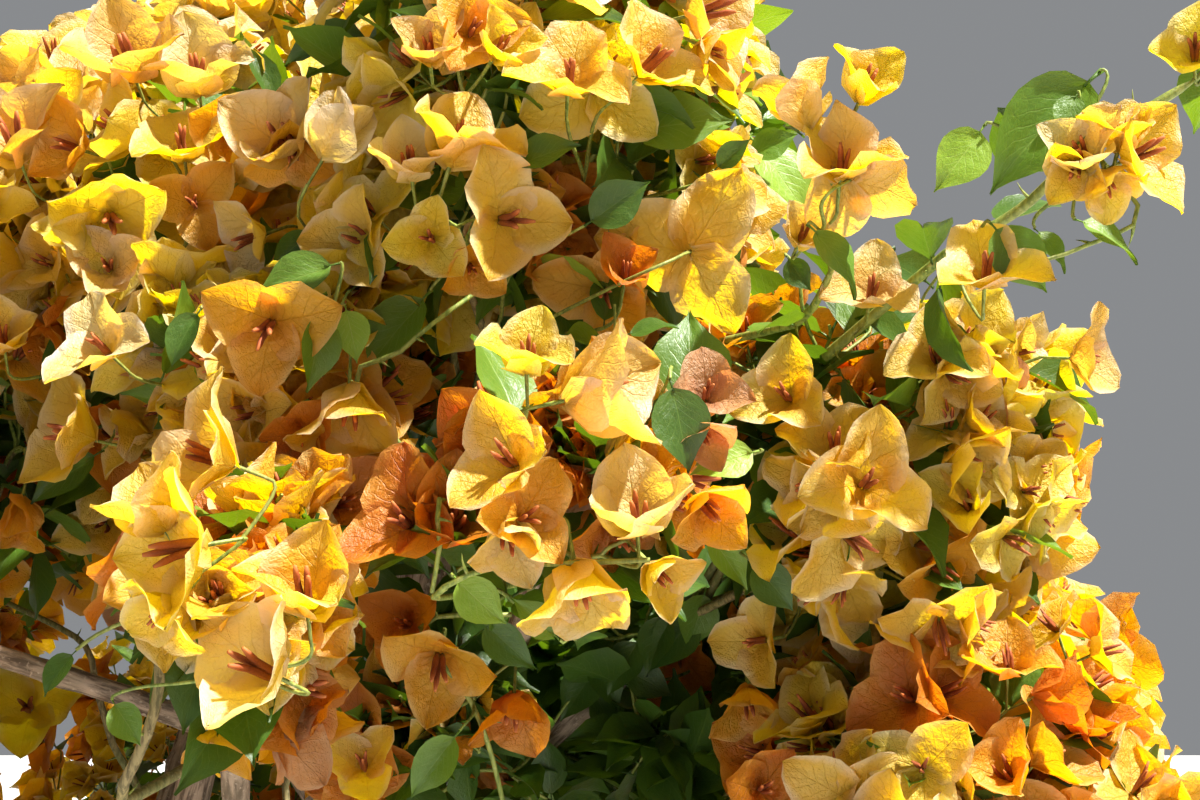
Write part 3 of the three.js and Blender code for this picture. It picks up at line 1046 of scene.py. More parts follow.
# Crown: each mass gets twig ends spread over its outside, and some deeper in
crown = {
    "nearGap": 0.044,
    "farGap": 0.062,
    "innerGap": 0.105,
    "tries": 1800,
    "innerTries": 500,
    "inset": 0.034,
    "innerInset": (0.085, 0.14),
    "innerCover": 0.03,
    "hiddenBy": 0.014,
    "lowest": 0.075,
    "smallest": 0.1,
    "waveScale": 5.0,
    "waveHeight": 0.026,
    "crease": 0.055,
    "creaseFill": 0.055,
    "longShare": 0.07,
    "longReach": (0.025, 0.055),
    "margin": 0.012,
}
# What a twig end is for
outer, inner, besideSingle, leafFoot, shade, behindSingle = range(6)
shells = {name: shellOf(name) for name in massNames}
skins = {name: skinOf(*shell) for name, shell in shells.items()}
boxes = {name: (points.min(axis=0), points.max(axis=0)) for name, (points, _) in shells.items()}


def depthIn(name, place):
    # how far a place is inside a mass, below zero outside it
    low, high = boxes[name]
    if np.any(place < low) or np.any(place > high):
        return -1.0
    spot, normal, _, distance = skins[name].find_nearest(Vector(place))
    return distance if (Vector(place) - spot).dot(normal) < 0 else -distance


def hiddenDepth(own, place):
    return max((depthIn(name, place) for name in massNames if name != own), default=-1.0)


def spreadOver(name, nearGap, farGap, count, draw):
    # places on the mass's surface, closer together where the photograph's view sees them
    points, triangles = shells[name]
    corners = points[triangles]
    normals = np.cross(corners[:, 1] - corners[:, 0], corners[:, 2] - corners[:, 0])
    area = np.linalg.norm(normals, axis=1)
    pick = draw.choice(len(triangles), count, p=area / area.sum())
    first, second = draw.random(count), draw.random(count)
    over = first + second > 1
    first[over], second[over] = 1 - first[over], 1 - second[over]
    start, one, other = (corners[pick, k] for k in range(3))
    places = start + first[:, None] * (one - start) + second[:, None] * (other - start)
    out = unit(0.7 * unit(normals[pick]) + 0.3 * unit(places - points.mean(axis=0)))
    u, v, depth = photoPixels(places)
    seen = (u > -120) & (u < 1320) & (v > -120) & (v < 920) & (depth < 1.5) & (out @ ahead < 0.3)
    gaps = np.where(seen, nearGap, farGap)
    kept = []
    for i in range(count):
        if not kept or np.min(np.linalg.norm(places[kept] - places[i], axis=1)) >= gaps[i]:
            kept.append(i)
    return places[kept], out[kept]


def crownTargets(name, seed):
    # rows of place, outward direction and what the end is for
    draw = np.random.default_rng(seed)
    rows = []
    places, out = spreadOver(name, crown["nearGap"], crown["farGap"], crown["tries"], draw)
    waves = softNoise(places, crown["waveScale"], 33)
    for place, heading, wave in zip(places, out, waves):
        hidden = hiddenDepth(name, place)
        if hidden > crown["hiddenBy"]:
            continue
        end = place - heading * crown["inset"] * draw.uniform(0.6, 1.5) + heading * crown["waveHeight"] * wave
        if hidden > -crown["crease"]:
            # the creases between masses are filled, so that they don't stand apart as balls
            end = end + unit(place - crownMiddle) * crown["creaseFill"] * draw.uniform(0.4, 1.1)
        if draw.random() < crown["longShare"]:
            end = end + heading * draw.uniform(*crown["longReach"])
        end = np.clip(end, cadLow + crown["margin"], cadHigh - crown["margin"])
        if end[2] > crown["lowest"]:
            rows.append((end, heading, outer))
    low, high = boxes[name]
    if (high - low).min() / 2 > crown["smallest"]:
        gap, cover = crown["innerGap"], crown["innerCover"]
        places, out = spreadOver(name, gap, gap, crown["innerTries"], draw)
        for place, heading in zip(places, out):
            end = place - heading * draw.uniform(*crown["innerInset"])
            if hiddenDepth(name, place) < cover and end[2] > crown["lowest"] and depthIn(name, end) > cover:
                rows.append((end, unit(heading + draw.normal(0, 0.4, 3)), inner))
    return rows


# The limb that each mass hangs on; the others hang on the bough of their own name
limbOf = {name: name.replace("mass_", "bough_") for name in massNames if name.startswith("mass_")}
limbOf.update({
    "mass_front_top": "stem_front_right",
    "mass_top": "stem_top",
    "mass_crown_left": "stem_left",
    "mass_crown_back": "stem_back",
    "mass_inner_front": "stem_front",
})
shootOf = {
    "spray_right_tip": "shoot_right",
    "spray_right_shoot": "shoot_right",
    "spray_right_under": "shoot_right",
    "spray_right_upper": "shoot_right_upper",
    "spray_left_tip": "shoot_left",
    "spray_back_tip": "shoot_back",
    "spray_front_tip": "shoot_front",
}
# Parts of the photograph's view, in pixels and metres of depth, that are open or in shade
openZone = {"left": 775, "right": 1260, "top": -60, "bottom": 300, "depth": 1.62}
shadeZone = {"left": 395, "right": 800, "top": 605, "bottom": 900, "depth": 1.6}
shadyZones = [
    shadeZone,
    {"left": -90, "right": 190, "top": 590, "bottom": 900, "depth": 1.6},
    {"left": 385, "right": 775, "top": 290, "bottom": 605, "depth": 1.6},
    {"left": 690, "right": 790, "top": 300, "bottom": 610, "depth": 1.6},
]
shadeShape = {"deeper": 0.05, "gap": 33, "lowest": 830, "depths": (1.2, 1.45), "jitter": 10}

# twig ends in the shaded parts go deeper and count as inner ones, so their sprays take deeper tones and
# greens later: painted shade
targets = {}
for i, name in enumerate(massNames):
    targets[name] = []
    for place, out, kind in crownTargets(name, 1000 + i):
        if kind == outer and any(within(zone, place) for zone in shadyZones) and not within(openZone, place):
            targets[name].append((place - out * shadeShape["deeper"], out, inner))
        elif not within(openZone, place):
            targets[name].append((place, out, kind))
print("crown:", sum(len(rows) for rows in targets.values()), "twig ends")


# Flowers that the photograph shows singly: pixel of the throat, where it faces as right, up and towards
# the viewer, length of a bract in pixels, how far it opens in degrees, and its tone. Each tone is partly the
# flower's own colour and partly its light: sunlit flowers take pale tones and shaded ones deep orange, as
# painted light and shade
singleFlowers = [
    (277, 677, (-0.6, 0.45, 0.65), 112, 50, "cream"), (308, 612, (0, 0.85, 0.5), 96, 35, "gold"),
    (205, 545, (-0.75, -0.1, 0.6), 108, 60, "yellow"), (165, 530, (-0.4, 0.8, 0.3), 85, 40, "gold"),
    (172, 600, (-0.5, -0.6, 0.5), 62, 45, "yellow"), (232, 465, (-0.75, 0.35, 0.55), 100, 45, "gold"),
    (350, 388, (0.05, -0.85, 0.5), 82, 28, "gold"), (272, 322, (-0.1, -0.35, 0.9), 84, 55, "amber"),
    (303, 432, (0, -0.3, 0.9), 48, 60, "deepOrange"), (110, 355, (-0.35, 0.5, 0.75), 68, 50, "cream"),
    (92, 440, (-0.7, 0.2, 0.6), 85, 50, "gold"), (5, 350, (0.1, 0.7, 0.6), 64, 45, "gold"),
    (22, 500, (0, -0.8, 0.5), 55, 20, "amber"), (135, 78, (-0.1, 0.6, 0.7), 98, 45, "pinkCream"),
    (200, 92, (0.05, 0.75, 0.6), 80, 35, "cream"), (290, 152, (-0.2, 0.4, 0.8), 84, 50, "pinkCream"),
    (325, 155, (0.5, 0.8, 0.1), 74, 20, "cream"), (20, 160, (-0.1, 0.7, 0.6), 90, 30, "pinkCream"),
    (80, 150, (-0.5, 0.1, 0.8), 60, 60, "amber"), (140, 140, (-0.7, 0.4, 0.5), 80, 50, "yellow"),
    (185, 160, (0, 0.8, 0.5), 68, 40, "yellow"), (235, 130, (0.5, -0.4, 0.7), 72, 50, "amber"),
    (290, 140, (0.2, -0.7, 0.6), 58, 40, "amber"), (240, 180, (0.7, 0.6, 0.2), 66, 35, "cream"),
    (195, 205, (0.1, 0.1, 0.95), 56, 65, "amber"), (110, 215, (0.3, -0.3, 0.8), 84, 55, "yellow"),
    (262, 235, (-0.6, -0.3, 0.6), 60, 50, "cream"), (85, 240, (-0.5, 0.5, 0.6), 60, 40, "yellow"),
    (110, 270, (0.1, 0.2, 0.9), 56, 50, "pinkCream"), (412, 178, (-0.05, 0.7, 0.65), 70, 45, "cream"),
    (433, 240, (-0.1, 0.05, 0.97), 58, 62, "yellow"), (470, 265, (0.2, -0.3, 0.8), 46, 50, "amber"),
    (500, 220, (0.55, -0.1, 0.8), 80, 60, "gold"), (568, 92, (0.05, 0.65, 0.75), 78, 40, "gold"),
    (640, 75, (0.6, 0.5, 0.6), 80, 45, "gold"), (690, 15, (0.8, 0.1, 0.5), 88, 50, "pinkCream"),
    (700, 45, (0.6, -0.4, 0.6), 60, 40, "gold"), (690, 252, (0.25, 0.15, -0.9), 98, 75, "gold"),
    (625, 280, (0.1, 0.6, 0.7), 50, 40, "deepOrange"), (450, 165, (0.3, 0.8, 0.4), 84, 35, "gold"),
    (430, 60, (0, 0.5, 0.8), 66, 45, "pinkCream"), (470, 35, (0.3, 0.2, 0.9), 60, 50, "amber"),
    (495, 55, (0.4, 0.4, 0.8), 56, 45, "yellow"), (527, 372, (0, 0.8, 0.55), 72, 35, "yellow"),
    (567, 400, (0.9, 0.2, 0.05), 116, 42, "pinkCream"), (515, 465, (-0.35, 0.4, 0.8), 82, 50, "gold"),
    (638, 532, (-0.05, 0.75, 0.6), 90, 42, "cream"), (520, 520, (0.4, 0.2, 0.85), 70, 55, "amber"),
    (508, 528, (0.1, -0.5, 0.75), 68, 45, "cream"), (575, 565, (0.15, -0.75, 0.5), 86, 35, "gold"),
    (650, 565, (0.5, -0.5, 0.6), 60, 40, "gold"), (440, 655, (0, -0.5, 0.8), 80, 50, "amber"),
    (410, 625, (-0.2, 0.2, 0.9), 60, 55, "deepOrange"), (515, 695, (0, -0.7, 0.6), 68, 40, "deepOrange"),
    (365, 770, (0, 0.6, 0.7), 56, 50, "gold"), (765, 640, (-0.6, 0, 0.7), 60, 45, "gold"),
    (748, 690, (0, -0.6, 0.75), 64, 40, "amber"), (760, 790, (0.2, 0.3, 0.9), 60, 50, "deepOrange"),
    (680, 650, (-0.2, -0.3, 0.9), 50, 55, "deepOrange"), (705, 400, (0.1, 0.5, 0.8), 56, 45, "dried"),
    (700, 430, (0.3, -0.5, 0.8), 50, 45, "dried"), (700, 500, (0.4, -0.4, 0.8), 72, 50, "amber"),
    (790, 400, (-0.4, 0.4, 0.8), 62, 50, "gold"), (808, 128, (-0.2, 0.85, -0.3), 76, 30, "gold"),
    (860, 100, (0.3, 0.7, 0.5), 66, 35, "yellow"), (840, 178, (0, 0.8, 0.5), 70, 40, "gold"),
    (850, 180, (0.5, 0.3, -0.7), 78, 70, "pinkCream"), (800, 240, (0.1, 0.4, 0.9), 52, 50, "cream"),
    (1085, 165, (-0.4, 0.5, 0.75), 72, 45, "cream"), (1075, 165, (-0.3, -0.5, 0.75), 58, 40, "gold"),
    (1105, 172, (0, -0.7, 0.6), 58, 35, "gold"), (1118, 150, (0.1, 0.8, 0.4), 58, 35, "gold"),
    (1125, 160, (0.6, 0.3, 0.7), 82, 50, "gold"), (1195, 60, (-0.3, 0.5, 0.8), 64, 50, "yellow"),
    (985, 285, (-0.1, 0.7, 0.65), 76, 40, "gold"), (870, 300, (0, 0.6, 0.7), 62, 45, "pinkCream"),
    (30, 710, (0.1, 0.4, 0.9), 66, 50, "yellow"),
]
# Leaves that the photograph shows singly: pixel of the foot, pixel of the tip, and tone; the deepest green
# marks leaves in shade and the palest lit ones, as painted shade and light
singleLeaves = [
    ((322, 308), (312, 392), "mid"), ((345, 305), (358, 360), "young"), ((430, 290), (365, 365), "mid"),
    ((372, 505), (432, 575), "dark"), ((380, 562), (428, 598), "young"), ((460, 730), (410, 795), "mid"),
    ((625, 335), (672, 318), "dark"), ((660, 360), (700, 335), "dark"), ((584, 226), (645, 182), "dark"),
    ((512, 168), (573, 138), "dark"), ((316, 232), (270, 262), "dark"), ((340, 262), (258, 290), "mid"),
    ((350, 290), (393, 262), "dark"), ((201, 308), (168, 360), "dark"), ((102, 450), (28, 500), "dark"),
    ((760, 450), (695, 470), "young"), ((706, 530), (748, 586), "young"), ((670, 378), (694, 472), "dark"),
    ((453, 576), (500, 624), "young"), ((76, 650), (40, 692), "dark"), ((112, 700), (138, 742), "mid"),
    ((750, 135), (815, 215), "young"), ((714, 170), (748, 140), "dark"), ((746, 156), (796, 132), "mid"),
    ((809, 224), (868, 288), "mid"), ((786, 256), (808, 290), "dark"), ((1100, 70), (995, 175), "mid"),
    ((985, 125), (940, 188), "young"), ((1078, 92), (1060, 132), "mid"), ((990, 222), (1048, 290), "mid"),
    ((1035, 228), (1072, 266), "mid"), ((1075, 218), (1145, 250), "mid"), ((700, 610), (650, 668), "dark"),
    ((590, 640), (620, 712), "dark"), ((700, 700), (668, 770), "dark"), ((540, 740), (600, 790), "dark"),
    ((600, 662), (562, 716), "dark"), ((640, 636), (606, 694), "dark"), ((668, 610), (644, 672), "dark"),
    ((706, 588), (690, 652), "mid"), ((622, 668), (672, 694), "dark"), ((592, 690), (622, 740), "dark"),
    ((480, 620), (532, 668), "dark"), ((750, 560), (795, 610), "dark"), ((560, 640), (516, 600), "mid"),
]
singleShape = {
    "stalk": 0.02, "forward": 0.014, "longest": 0.068, "leafForward": 0.024, "leafFacing": (0.0, 0.45, 0.9),
    "footBack": 0.006, "tipForward": 0.004, "leafLength": 1.08, "woodReach": 24,
}


def fromView(face):
    return unit(face[0] * rightward + face[1] * upward - face[2] * ahead)


def depthAt(u, v):
    # depth of the crown's outside along a pixel's ray, or of where the ray comes nearest to it
    ray = alongRay(u, v)
    hits = [skin.ray_cast(Vector(eye), Vector(unit(ray)))[0] for skin in skins.values()]
    depths = [float((np.array(hit) - eye) @ ahead) for hit in hits if hit is not None]
    if depths:
        return min(depths)
    steps = np.linspace(0.8, 1.9, 45)
    spots = [Vector(eye + step * ray) for step in steps]
    reach = [min(skin.find_nearest(spot)[3] for skin in skins.values()) for spot in spots]
    return float(steps[int(np.argmin(reach))])


limbDots = np.concatenate([smoothPath(path, 60) for path, _ in limbs.values()])
limbU, limbV, limbDepths = photoPixels(limbDots)


def beforeWood(u, v):
    # depth of the nearest limb that shows within some pixels, or far away if none does
    near = (np.hypot(limbU - u, limbV - v) < singleShape["woodReach"]) & (limbDepths > 0.6)
    return float(limbDepths[near].min()) if near.any() else 9.0


def nearestMass(place):
    return min(massNames, key=lambda name: skins[name].find_nearest(Vector(place))[3])


levelDepths = {"near": 1.02, "middle": 1.45, "far": math.inf}


def levelAt(place):
    u, v, depth = photoPixel(place)
    border = view["border"]
    if not (-border < u < view["width"] + border and -border < v < view["height"] + border):
        return "far"
    return next(level for level, limit in levelDepths.items() if depth < limit)


def acrossOf(heading, draw):
    return unit(np.cross(heading, unit(draw.normal(size=3))))


def squareTo(facing, heading):
    return unit(facing - heading * (facing @ heading))


rowKeys = ("place", "facing", "side", "span", "form", "tone", "level")
flowers, leaves = ({key: [] for key in rowKeys} for _ in range(2))
stalks = []  # paths with thicknesses for the flowers' own thin stalks


def addTo(rows, *values):
    for key, value in zip(rowKeys, values):
        rows[key].append(value)


def addFlower(place, facing, span, opening, tone, level, foot, thick, draw):
    side = acrossOf(facing, draw)
    form = pickForm(flowerForms, level, draw, opening)
    addTo(flowers, place, facing, side, span, form, tone, level)
    stalks.append((np.array([foot, place + 0.002 * facing]), np.array(thick)))


def addLeaf(foot, heading, facing, span, tone, level, draw):
    form = pickForm(leafForms, level, draw)
    addTo(leaves, foot, facing, np.cross(heading, facing), span, form, tone, level)


draw = np.random.default_rng(77)
singles = []  # pixel, depth and reach of each single flower, to keep others from covering it
for u, v, face, reach, opening, tone in singleFlowers:
    depth = depthAt(u, v) - singleShape["forward"]
    place, facing = photoPoint(u, v, depth), fromView(face)
    root = place - facing * singleShape["stalk"]
    span = min(reach * depth / focus, singleShape["longest"])
    addFlower(place, facing, span, opening, tone, "near", root, [0.0011, 0.0014], draw)
    singles.append((u, v, depth, reach))
    targets[nearestMass(place)].append((root, facing, besideSingle))
for footPixel, tipPixel, tone in singleLeaves:
    middle = np.add(footPixel, tipPixel) / 2
    depth = min(depthAt(*middle), beforeWood(*middle)) - singleShape["leafForward"]
    foot = photoPoint(*footPixel, depth + singleShape["footBack"])
    tip = photoPoint(*tipPixel, depth - singleShape["tipForward"])
    along = unit(tip - foot)
    facing = squareTo(unit(fromView(singleShape["leafFacing"]) + 0.25 * draw.normal(size=3)), along)
    addLeaf(foot, along, facing, apart(tip, foot) / singleShape["leafLength"], tone, "near", draw)
    targets[nearestMass(foot)].append((foot, along, leafFoot))
singles = np.array(singles)

# behind the shade the crown goes on in leaves, so no light comes through from the far side
for u in np.arange(shadeZone["left"], shadeZone["right"], shadeShape["gap"]):
    for v in np.arange(shadeZone["top"], shadeShape["lowest"], shadeShape["gap"]):
        across, down = draw.uniform(-1, 1, 2) * shadeShape["jitter"]
        place = photoPoint(u + across, v + down, draw.uniform(*shadeShape["depths"]))
        if place[2] > crown["lowest"]:
            out = unit(fromView((0, 0.5, 0.7)) + 0.5 * draw.normal(size=3))
            targets[nearestMass(place)].append((place, out, shade))

# and leafy twigs stand before the bare wood that the photograph doesn't show
woodCover = {"behindSkin": 0.035, "spots": [
    (588, 694), (612, 682), (634, 666), (656, 650), (678, 634), (700, 618), (600, 716), (646, 690),
    (686, 660), (440, 540), (452, 574), (470, 552), (428, 606), (560, 668), (576, 640), (500, 650),
    (480, 690), (540, 700),
]}
for u, v in woodCover["spots"]:
    place = photoPoint(u, v, depthAt(u, v) + woodCover["behindSkin"])
    out = unit(fromView((0, 0.5, 0.7)) + 0.4 * draw.normal(size=3))
    targets[nearestMass(place)].append((place, out, shade))


def nearSingle(place, clear, behind):
    # whether a place comes within so many pixels of a single flower, and not far behind it
    u, v, depth = photoPixel(place)
    away = np.hypot(singles[:, 0] - u, singles[:, 1] - v)
    return bool(np.any((away < clear(singles[:, 3], depth)) & (depth < singles[:, 2] + behind)))


# what stands round a single flower steps back from it, and its sprays take deeper tones as painted shade
stepBack = {"reach": 1.35, "by": 0.065, "missing": 0.2}
for name, rows in targets.items():
    for i, (place, out, kind) in enumerate(rows):
        if kind == outer and nearSingle(place, lambda reach, depth: stepBack["reach"] * reach, 0.05):
            rows[i] = (place + ahead * stepBack["by"] - out * 0.01, out, behindSingle)
    targets[name] = [row for row in rows if row[2] != behindSingle or draw.random() > stepBack["missing"]]
print("singles:", len(singleFlowers), "flowers and", len(singleLeaves), "leaves")


def coversSingle(place, span):
    # whether something of that span would stand in front of a single flower
    return nearSingle(place, lambda reach, depth: 0.55 * reach + 0.5 * span * focus / depth, 0.03)


# Twigs: a seeded rule that forks again and again until each twig ends at its own place
twigShape = {
    "thin": 0.00105, "growth": 0.42, "knots": 6, "longKnots": 12, "forkKnots": 5, "forkShare": (0.42, 0.62),
    "wander": 0.07, "lastTwigs": 2, "shortest": 0.012, "branchFrom": 0.0021,
}
twigs, ends = [], []  # pairs of path and thicknesses; rows of path, direction and what the end is for


def thicknessFor(count):
    return twigShape["thin"] * max(count, 1) ** twigShape["growth"]


def splitUp(places, parts, draw):
    # groups of near neighbours
    centres = places[draw.choice(len(places), parts, replace=False)]
    for _ in range(6):
        label = np.argmin(np.linalg.norm(places[:, None] - centres[None], axis=2), axis=1)
        for k in range(parts):
            if np.any(label == k):
                centres[k] = places[label == k].mean(axis=0)
    return label


def addPath(start, startPull, end, endPull, thick, thin, draw, knots):
    share = np.linspace(0, 1, knots)
    path = hermite(start, startPull, end, endPull, share)
    reach = apart(end, start)
    bow = np.sin(math.pi * share)
    path = path + bow[:, None] * (draw.normal(0, twigShape["wander"], 3) * reach) * 0.5
    path = path + (np.sin(fullTurn * share) * bow)[:, None] * draw.normal(0, 0.03, 3) * reach
    twigs.append((path, thick + (thin - thick) * share))
    return path


def growTwigs(start, heading, thickest, rows, draw):
    stack = [(start, unit(heading), thickest, list(range(len(rows))))]
    places = np.array([row[0] for row in rows])
    while stack:
        origin, heading, limit, members = stack.pop()
        if len(members) <= twigShape["lastTwigs"]:
            for end, out, kind in (rows[m] for m in members):
                reach = apart(end, origin)
                thick = min(limit, thicknessFor(1) * 1.35)
                knots = twigShape["longKnots" if kind in (besideSingle, leafFoot) else "knots"]
                pull = out * reach * (1.0 if kind == besideSingle else 0.6)
                thin, start = twigShape["thin"], heading * reach * 0.5
                path = addPath(origin, start, end, pull, thick, thin, draw, knots)
                ends.append((path, out, kind))
            continue
        middle = places[members].mean(axis=0)
        fork = origin + (middle - origin) * draw.uniform(*twigShape["forkShare"])
        gone = apart(fork, origin)
        thick = min(limit, thicknessFor(len(members)))
        onward = unit(middle - origin) * gone * 0.6
        if gone > twigShape["shortest"]:
            pull = heading * gone * 0.6
            path = addPath(origin, pull, fork, onward, thick, thick * 0.82, draw, twigShape["forkKnots"])
            heading, origin = unit(path[-1] - path[-2]), path[-1]
        parts = 3 if len(members) > 12 and draw.random() < 0.5 else 2
        label = splitUp(places[members], parts, draw)
        groups = [[m for m, k in zip(members, label) if k == part] for part in range(parts)]
        groups = [group for group in groups if group]
        if len(groups) < 2:
            groups = [members[: len(members) // 2], members[len(members) // 2 :]]
        stack += [(origin, heading, thick * 0.85, group) for group in groups]


for i, (name, rows) in enumerate(targets.items()):
    if not rows:
        continue
    draw = np.random.default_rng(3000 + i)
    path, radii = limbs[limbOf.get(name) or shootOf[name]]
    line, thick = smoothPath(path, 60), evenly(path, radii, 60)
    usable = np.arange(0 if name in shootOf else 36, 60)  # twigs start on the outer part of a bough
    places = np.array([row[0] for row in rows])
    parts = int(np.clip(len(rows) // 14, 1, 7))
    label = splitUp(places, parts, draw)
    for part in range(parts):
        group = [row for row, k in zip(rows, label) if k == part]
        if not group:
            continue
        middle = places[label == part].mean(axis=0)
        spot = usable[int(np.argmin(np.linalg.norm(line[usable] - middle, axis=1)))]
        spot = max(spot - int(draw.integers(0, 6)), usable[0])
        along = unit(line[min(spot + 1, 59)] - line[spot - 1])
        growTwigs(line[spot], along + 0.6 * unit(middle - line[spot]), thick[spot] * 0.8, group, draw)
print("twigs:", len(twigs), "with", len(ends), "ends")


# Sprays: flowers or leaves at each twig's end, with the tone dealt out to the whole spray
sprayShape = {
    "bloom": {outer: 0.87, inner: 0.36, besideSingle: 0.0, leafFoot: 0.0, shade: 0.08, behindSingle: 0.5},
    "flowers": (2, 4),
    "stalk": (0.012, 0.026),
    "stalkThick": (0.0009, 0.0012),
    "span": (0.034, 0.047),
    "spread": 0.85,
    "rise": 0.28,
    "opening": (50, 14),  # mean and spread in degrees
    "openingLimits": (22, 78),
    "dried": 0.012,
    "leafSpan": (0.036, 0.068),
    "leaves": (1, 3),
    "leafyLeaves": (4, 7),
    "shadeLeaves": 2,
}
toneSteps = [  # value below which a spray takes this tone
    (0.10, "deepOrange"), (0.27, "amber"), (0.54, "gold"), (0.84, "yellow"), (0.89, "pinkCream"),
    (9.0, "cream"),
]
leafSteps = [(0.1, "dark"), (0.75, "mid"), (9.0, "young")]
sunnyZone = {
    "left": -90, "right": 400, "top": -90, "bottom": 300, "depth": 2.6, "bloom": 0.93, "leaves": (0, 1),
}
# Painted light and shade: sprays in the sunlit part of the view move towards the pale tones, those in the
# shaded middle, lower middle and lower left towards the deep ones
paintedLightZones = [  # part of the view and how far its sprays move towards the pale tones
    (sunnyZone, 0.1),
    ({"left": 400, "right": 780, "top": 290, "bottom": 900, "depth": 2.6}, -0.08),
    ({"left": -90, "right": 400, "top": 560, "bottom": 900, "depth": 2.6}, -0.06),
]
# Tone values: a random drift, plus painted light and shade. Sprays that face up and stand high take paler
# tones (painted sunlight); sprays inside the crown, in shade and behind single flowers take deeper tones
# (painted shade)
toneDriftAndPaintedLight = {
    "start": 0.49, "patch": 0.13, "rise": 0.08, "height": 0.75, "chance": 0.18, "inner": -0.38,
    "sunnyInner": 0.4, "behindSingle": -0.1, "own": 0.06, "middle": 1.05, "limit": 0.3,
}


def toneOf(value, steps):
    return next(tone for limit, tone in steps if value < limit)


def spotAlong(path, share):
    return np.array([np.interp(share, np.linspace(0, 1, len(path)), path[:, axis]) for axis in range(3)])


# a spray's tone value: random drift, plus painted light up high and facing up, and painted shade inside the
# crown, in shade and behind single flowers
def toneValueWithPaintedLight(place, out, kind, sunny, patch, draw):
    height = float(np.clip(place[2] - toneDriftAndPaintedLight["middle"], -toneDriftAndPaintedLight["limit"], toneDriftAndPaintedLight["limit"]))
    value = toneDriftAndPaintedLight["start"] + toneDriftAndPaintedLight["patch"] * patch + toneDriftAndPaintedLight["rise"] * out[2]
    value += toneDriftAndPaintedLight["height"] * height
    value += draw.normal(0, toneDriftAndPaintedLight["chance"])
    if kind in (inner, shade):
        value += toneDriftAndPaintedLight["inner"] * (toneDriftAndPaintedLight["sunnyInner"] if sunny else 1.0)
    if kind == behindSingle:
        value += toneDriftAndPaintedLight["behindSingle"]
    return value + sum(shift for zone, shift in paintedLightZones if within(zone, place))


def flowerSpray(place, tangent, out, value, level, draw):
    count = int(draw.integers(sprayShape["flowers"][0], sprayShape["flowers"][1] + 1))
    a = acrossOf(tangent, draw)
    b = np.cross(tangent, a)
    turn = draw.uniform(0, fullTurn)
    for k in range(count):
        around = turn + fullTurn * k / count + draw.uniform(-0.4, 0.4)
        lean = sprayShape["spread"] * draw.uniform(0.45, 1.25)
        heading = unit(0.55 * tangent + 0.45 * out) + lean * (math.cos(around) * a + math.sin(around) * b)
        heading = unit(heading + (0, 0, sprayShape["rise"]))
        throat = place + heading * draw.uniform(*sprayShape["stalk"])
        span = draw.uniform(*sprayShape["span"])
        if coversSingle(throat, span) or within(openZone, throat + heading * span):
            continue
        own = value + draw.normal(0, toneDriftAndPaintedLight["own"])
        tone = "dried" if draw.random() < sprayShape["dried"] else toneOf(own, toneSteps)
        facing = unit(heading + 0.25 * draw.normal(size=3))
        opening = float(np.clip(draw.normal(*sprayShape["opening"]), *sprayShape["openingLimits"]))
        addFlower(throat, facing, span, opening, tone, level, place, sprayShape["stalkThick"], draw)


def leafSpray(path, tangent, out, count, bloom, leafValueWithPaintedLight, level, draw):
    a = acrossOf(tangent, draw)
    b = np.cross(tangent, a)
    for k in range(count):
        share = 0.86 - 0.17 * k if bloom else 1.0 - 0.16 * k
        spot = spotAlong(path, float(np.clip(share - draw.uniform(0, 0.08), 0.1, 1.0)))
        around = 2.4 * k + draw.uniform(-0.5, 0.5)
        heading = unit(math.cos(around) * a + math.sin(around) * b + 0.55 * tangent + (0, 0, 0.1))
        facing = squareTo(unit(out * 0.5 + (0, 0, 0.75) + 0.3 * draw.normal(size=3)), heading)
        span = draw.uniform(*sprayShape["leafSpan"])
        if not coversSingle(spot + heading * span * 0.6, span * 0.9):
            tone = toneOf(leafValueWithPaintedLight + draw.normal(0, 0.35), leafSteps)
            addLeaf(spot, heading, facing, span, tone, level, draw)


endPlaces = np.array([path[-1] for path, _, _ in ends])
drift, leafDrift = softNoise(endPlaces, 3.2, 61), softNoise(endPlaces, 5.0, 62)
draw = np.random.default_rng(9)
for (path, out, kind), patch, leafPatch in zip(ends, drift, leafDrift):
    place = path[-1]
    level = levelAt(place)
    tangent = unit(path[-1] - path[-2])
    deep = kind in (inner, shade)
    sunny = kind in (outer, inner, behindSingle) and within(sunnyZone, place)
    bloom = draw.random() < (sunnyZone["bloom"] if sunny else sprayShape["bloom"][kind])
    value = toneValueWithPaintedLight(place, out, kind, sunny, patch, draw)
    if bloom:
        flowerSpray(place, tangent, out, value, level, draw)
    if kind == leafFoot:
        continue
    low, high = sprayShape["leaves" if bloom or kind == besideSingle else "leafyLeaves"]
    if sunny and bloom:
        low, high = sunnyZone["leaves"]
    count = int(draw.integers(low, high + 1))
    if deep and within(shadeZone, place):
        count += sprayShape["shadeLeaves"]
    # leaves that face up take paler greens and those deep in the crown deeper greens: painted light and shade
    # over a random patch
    leafValueWithPaintedLight = leafPatch * 0.35 + out[2] * 0.25 + (-0.5 if deep else 0.15)
    leafSpray(path, tangent, out, count, bloom, leafValueWithPaintedLight, level, draw)

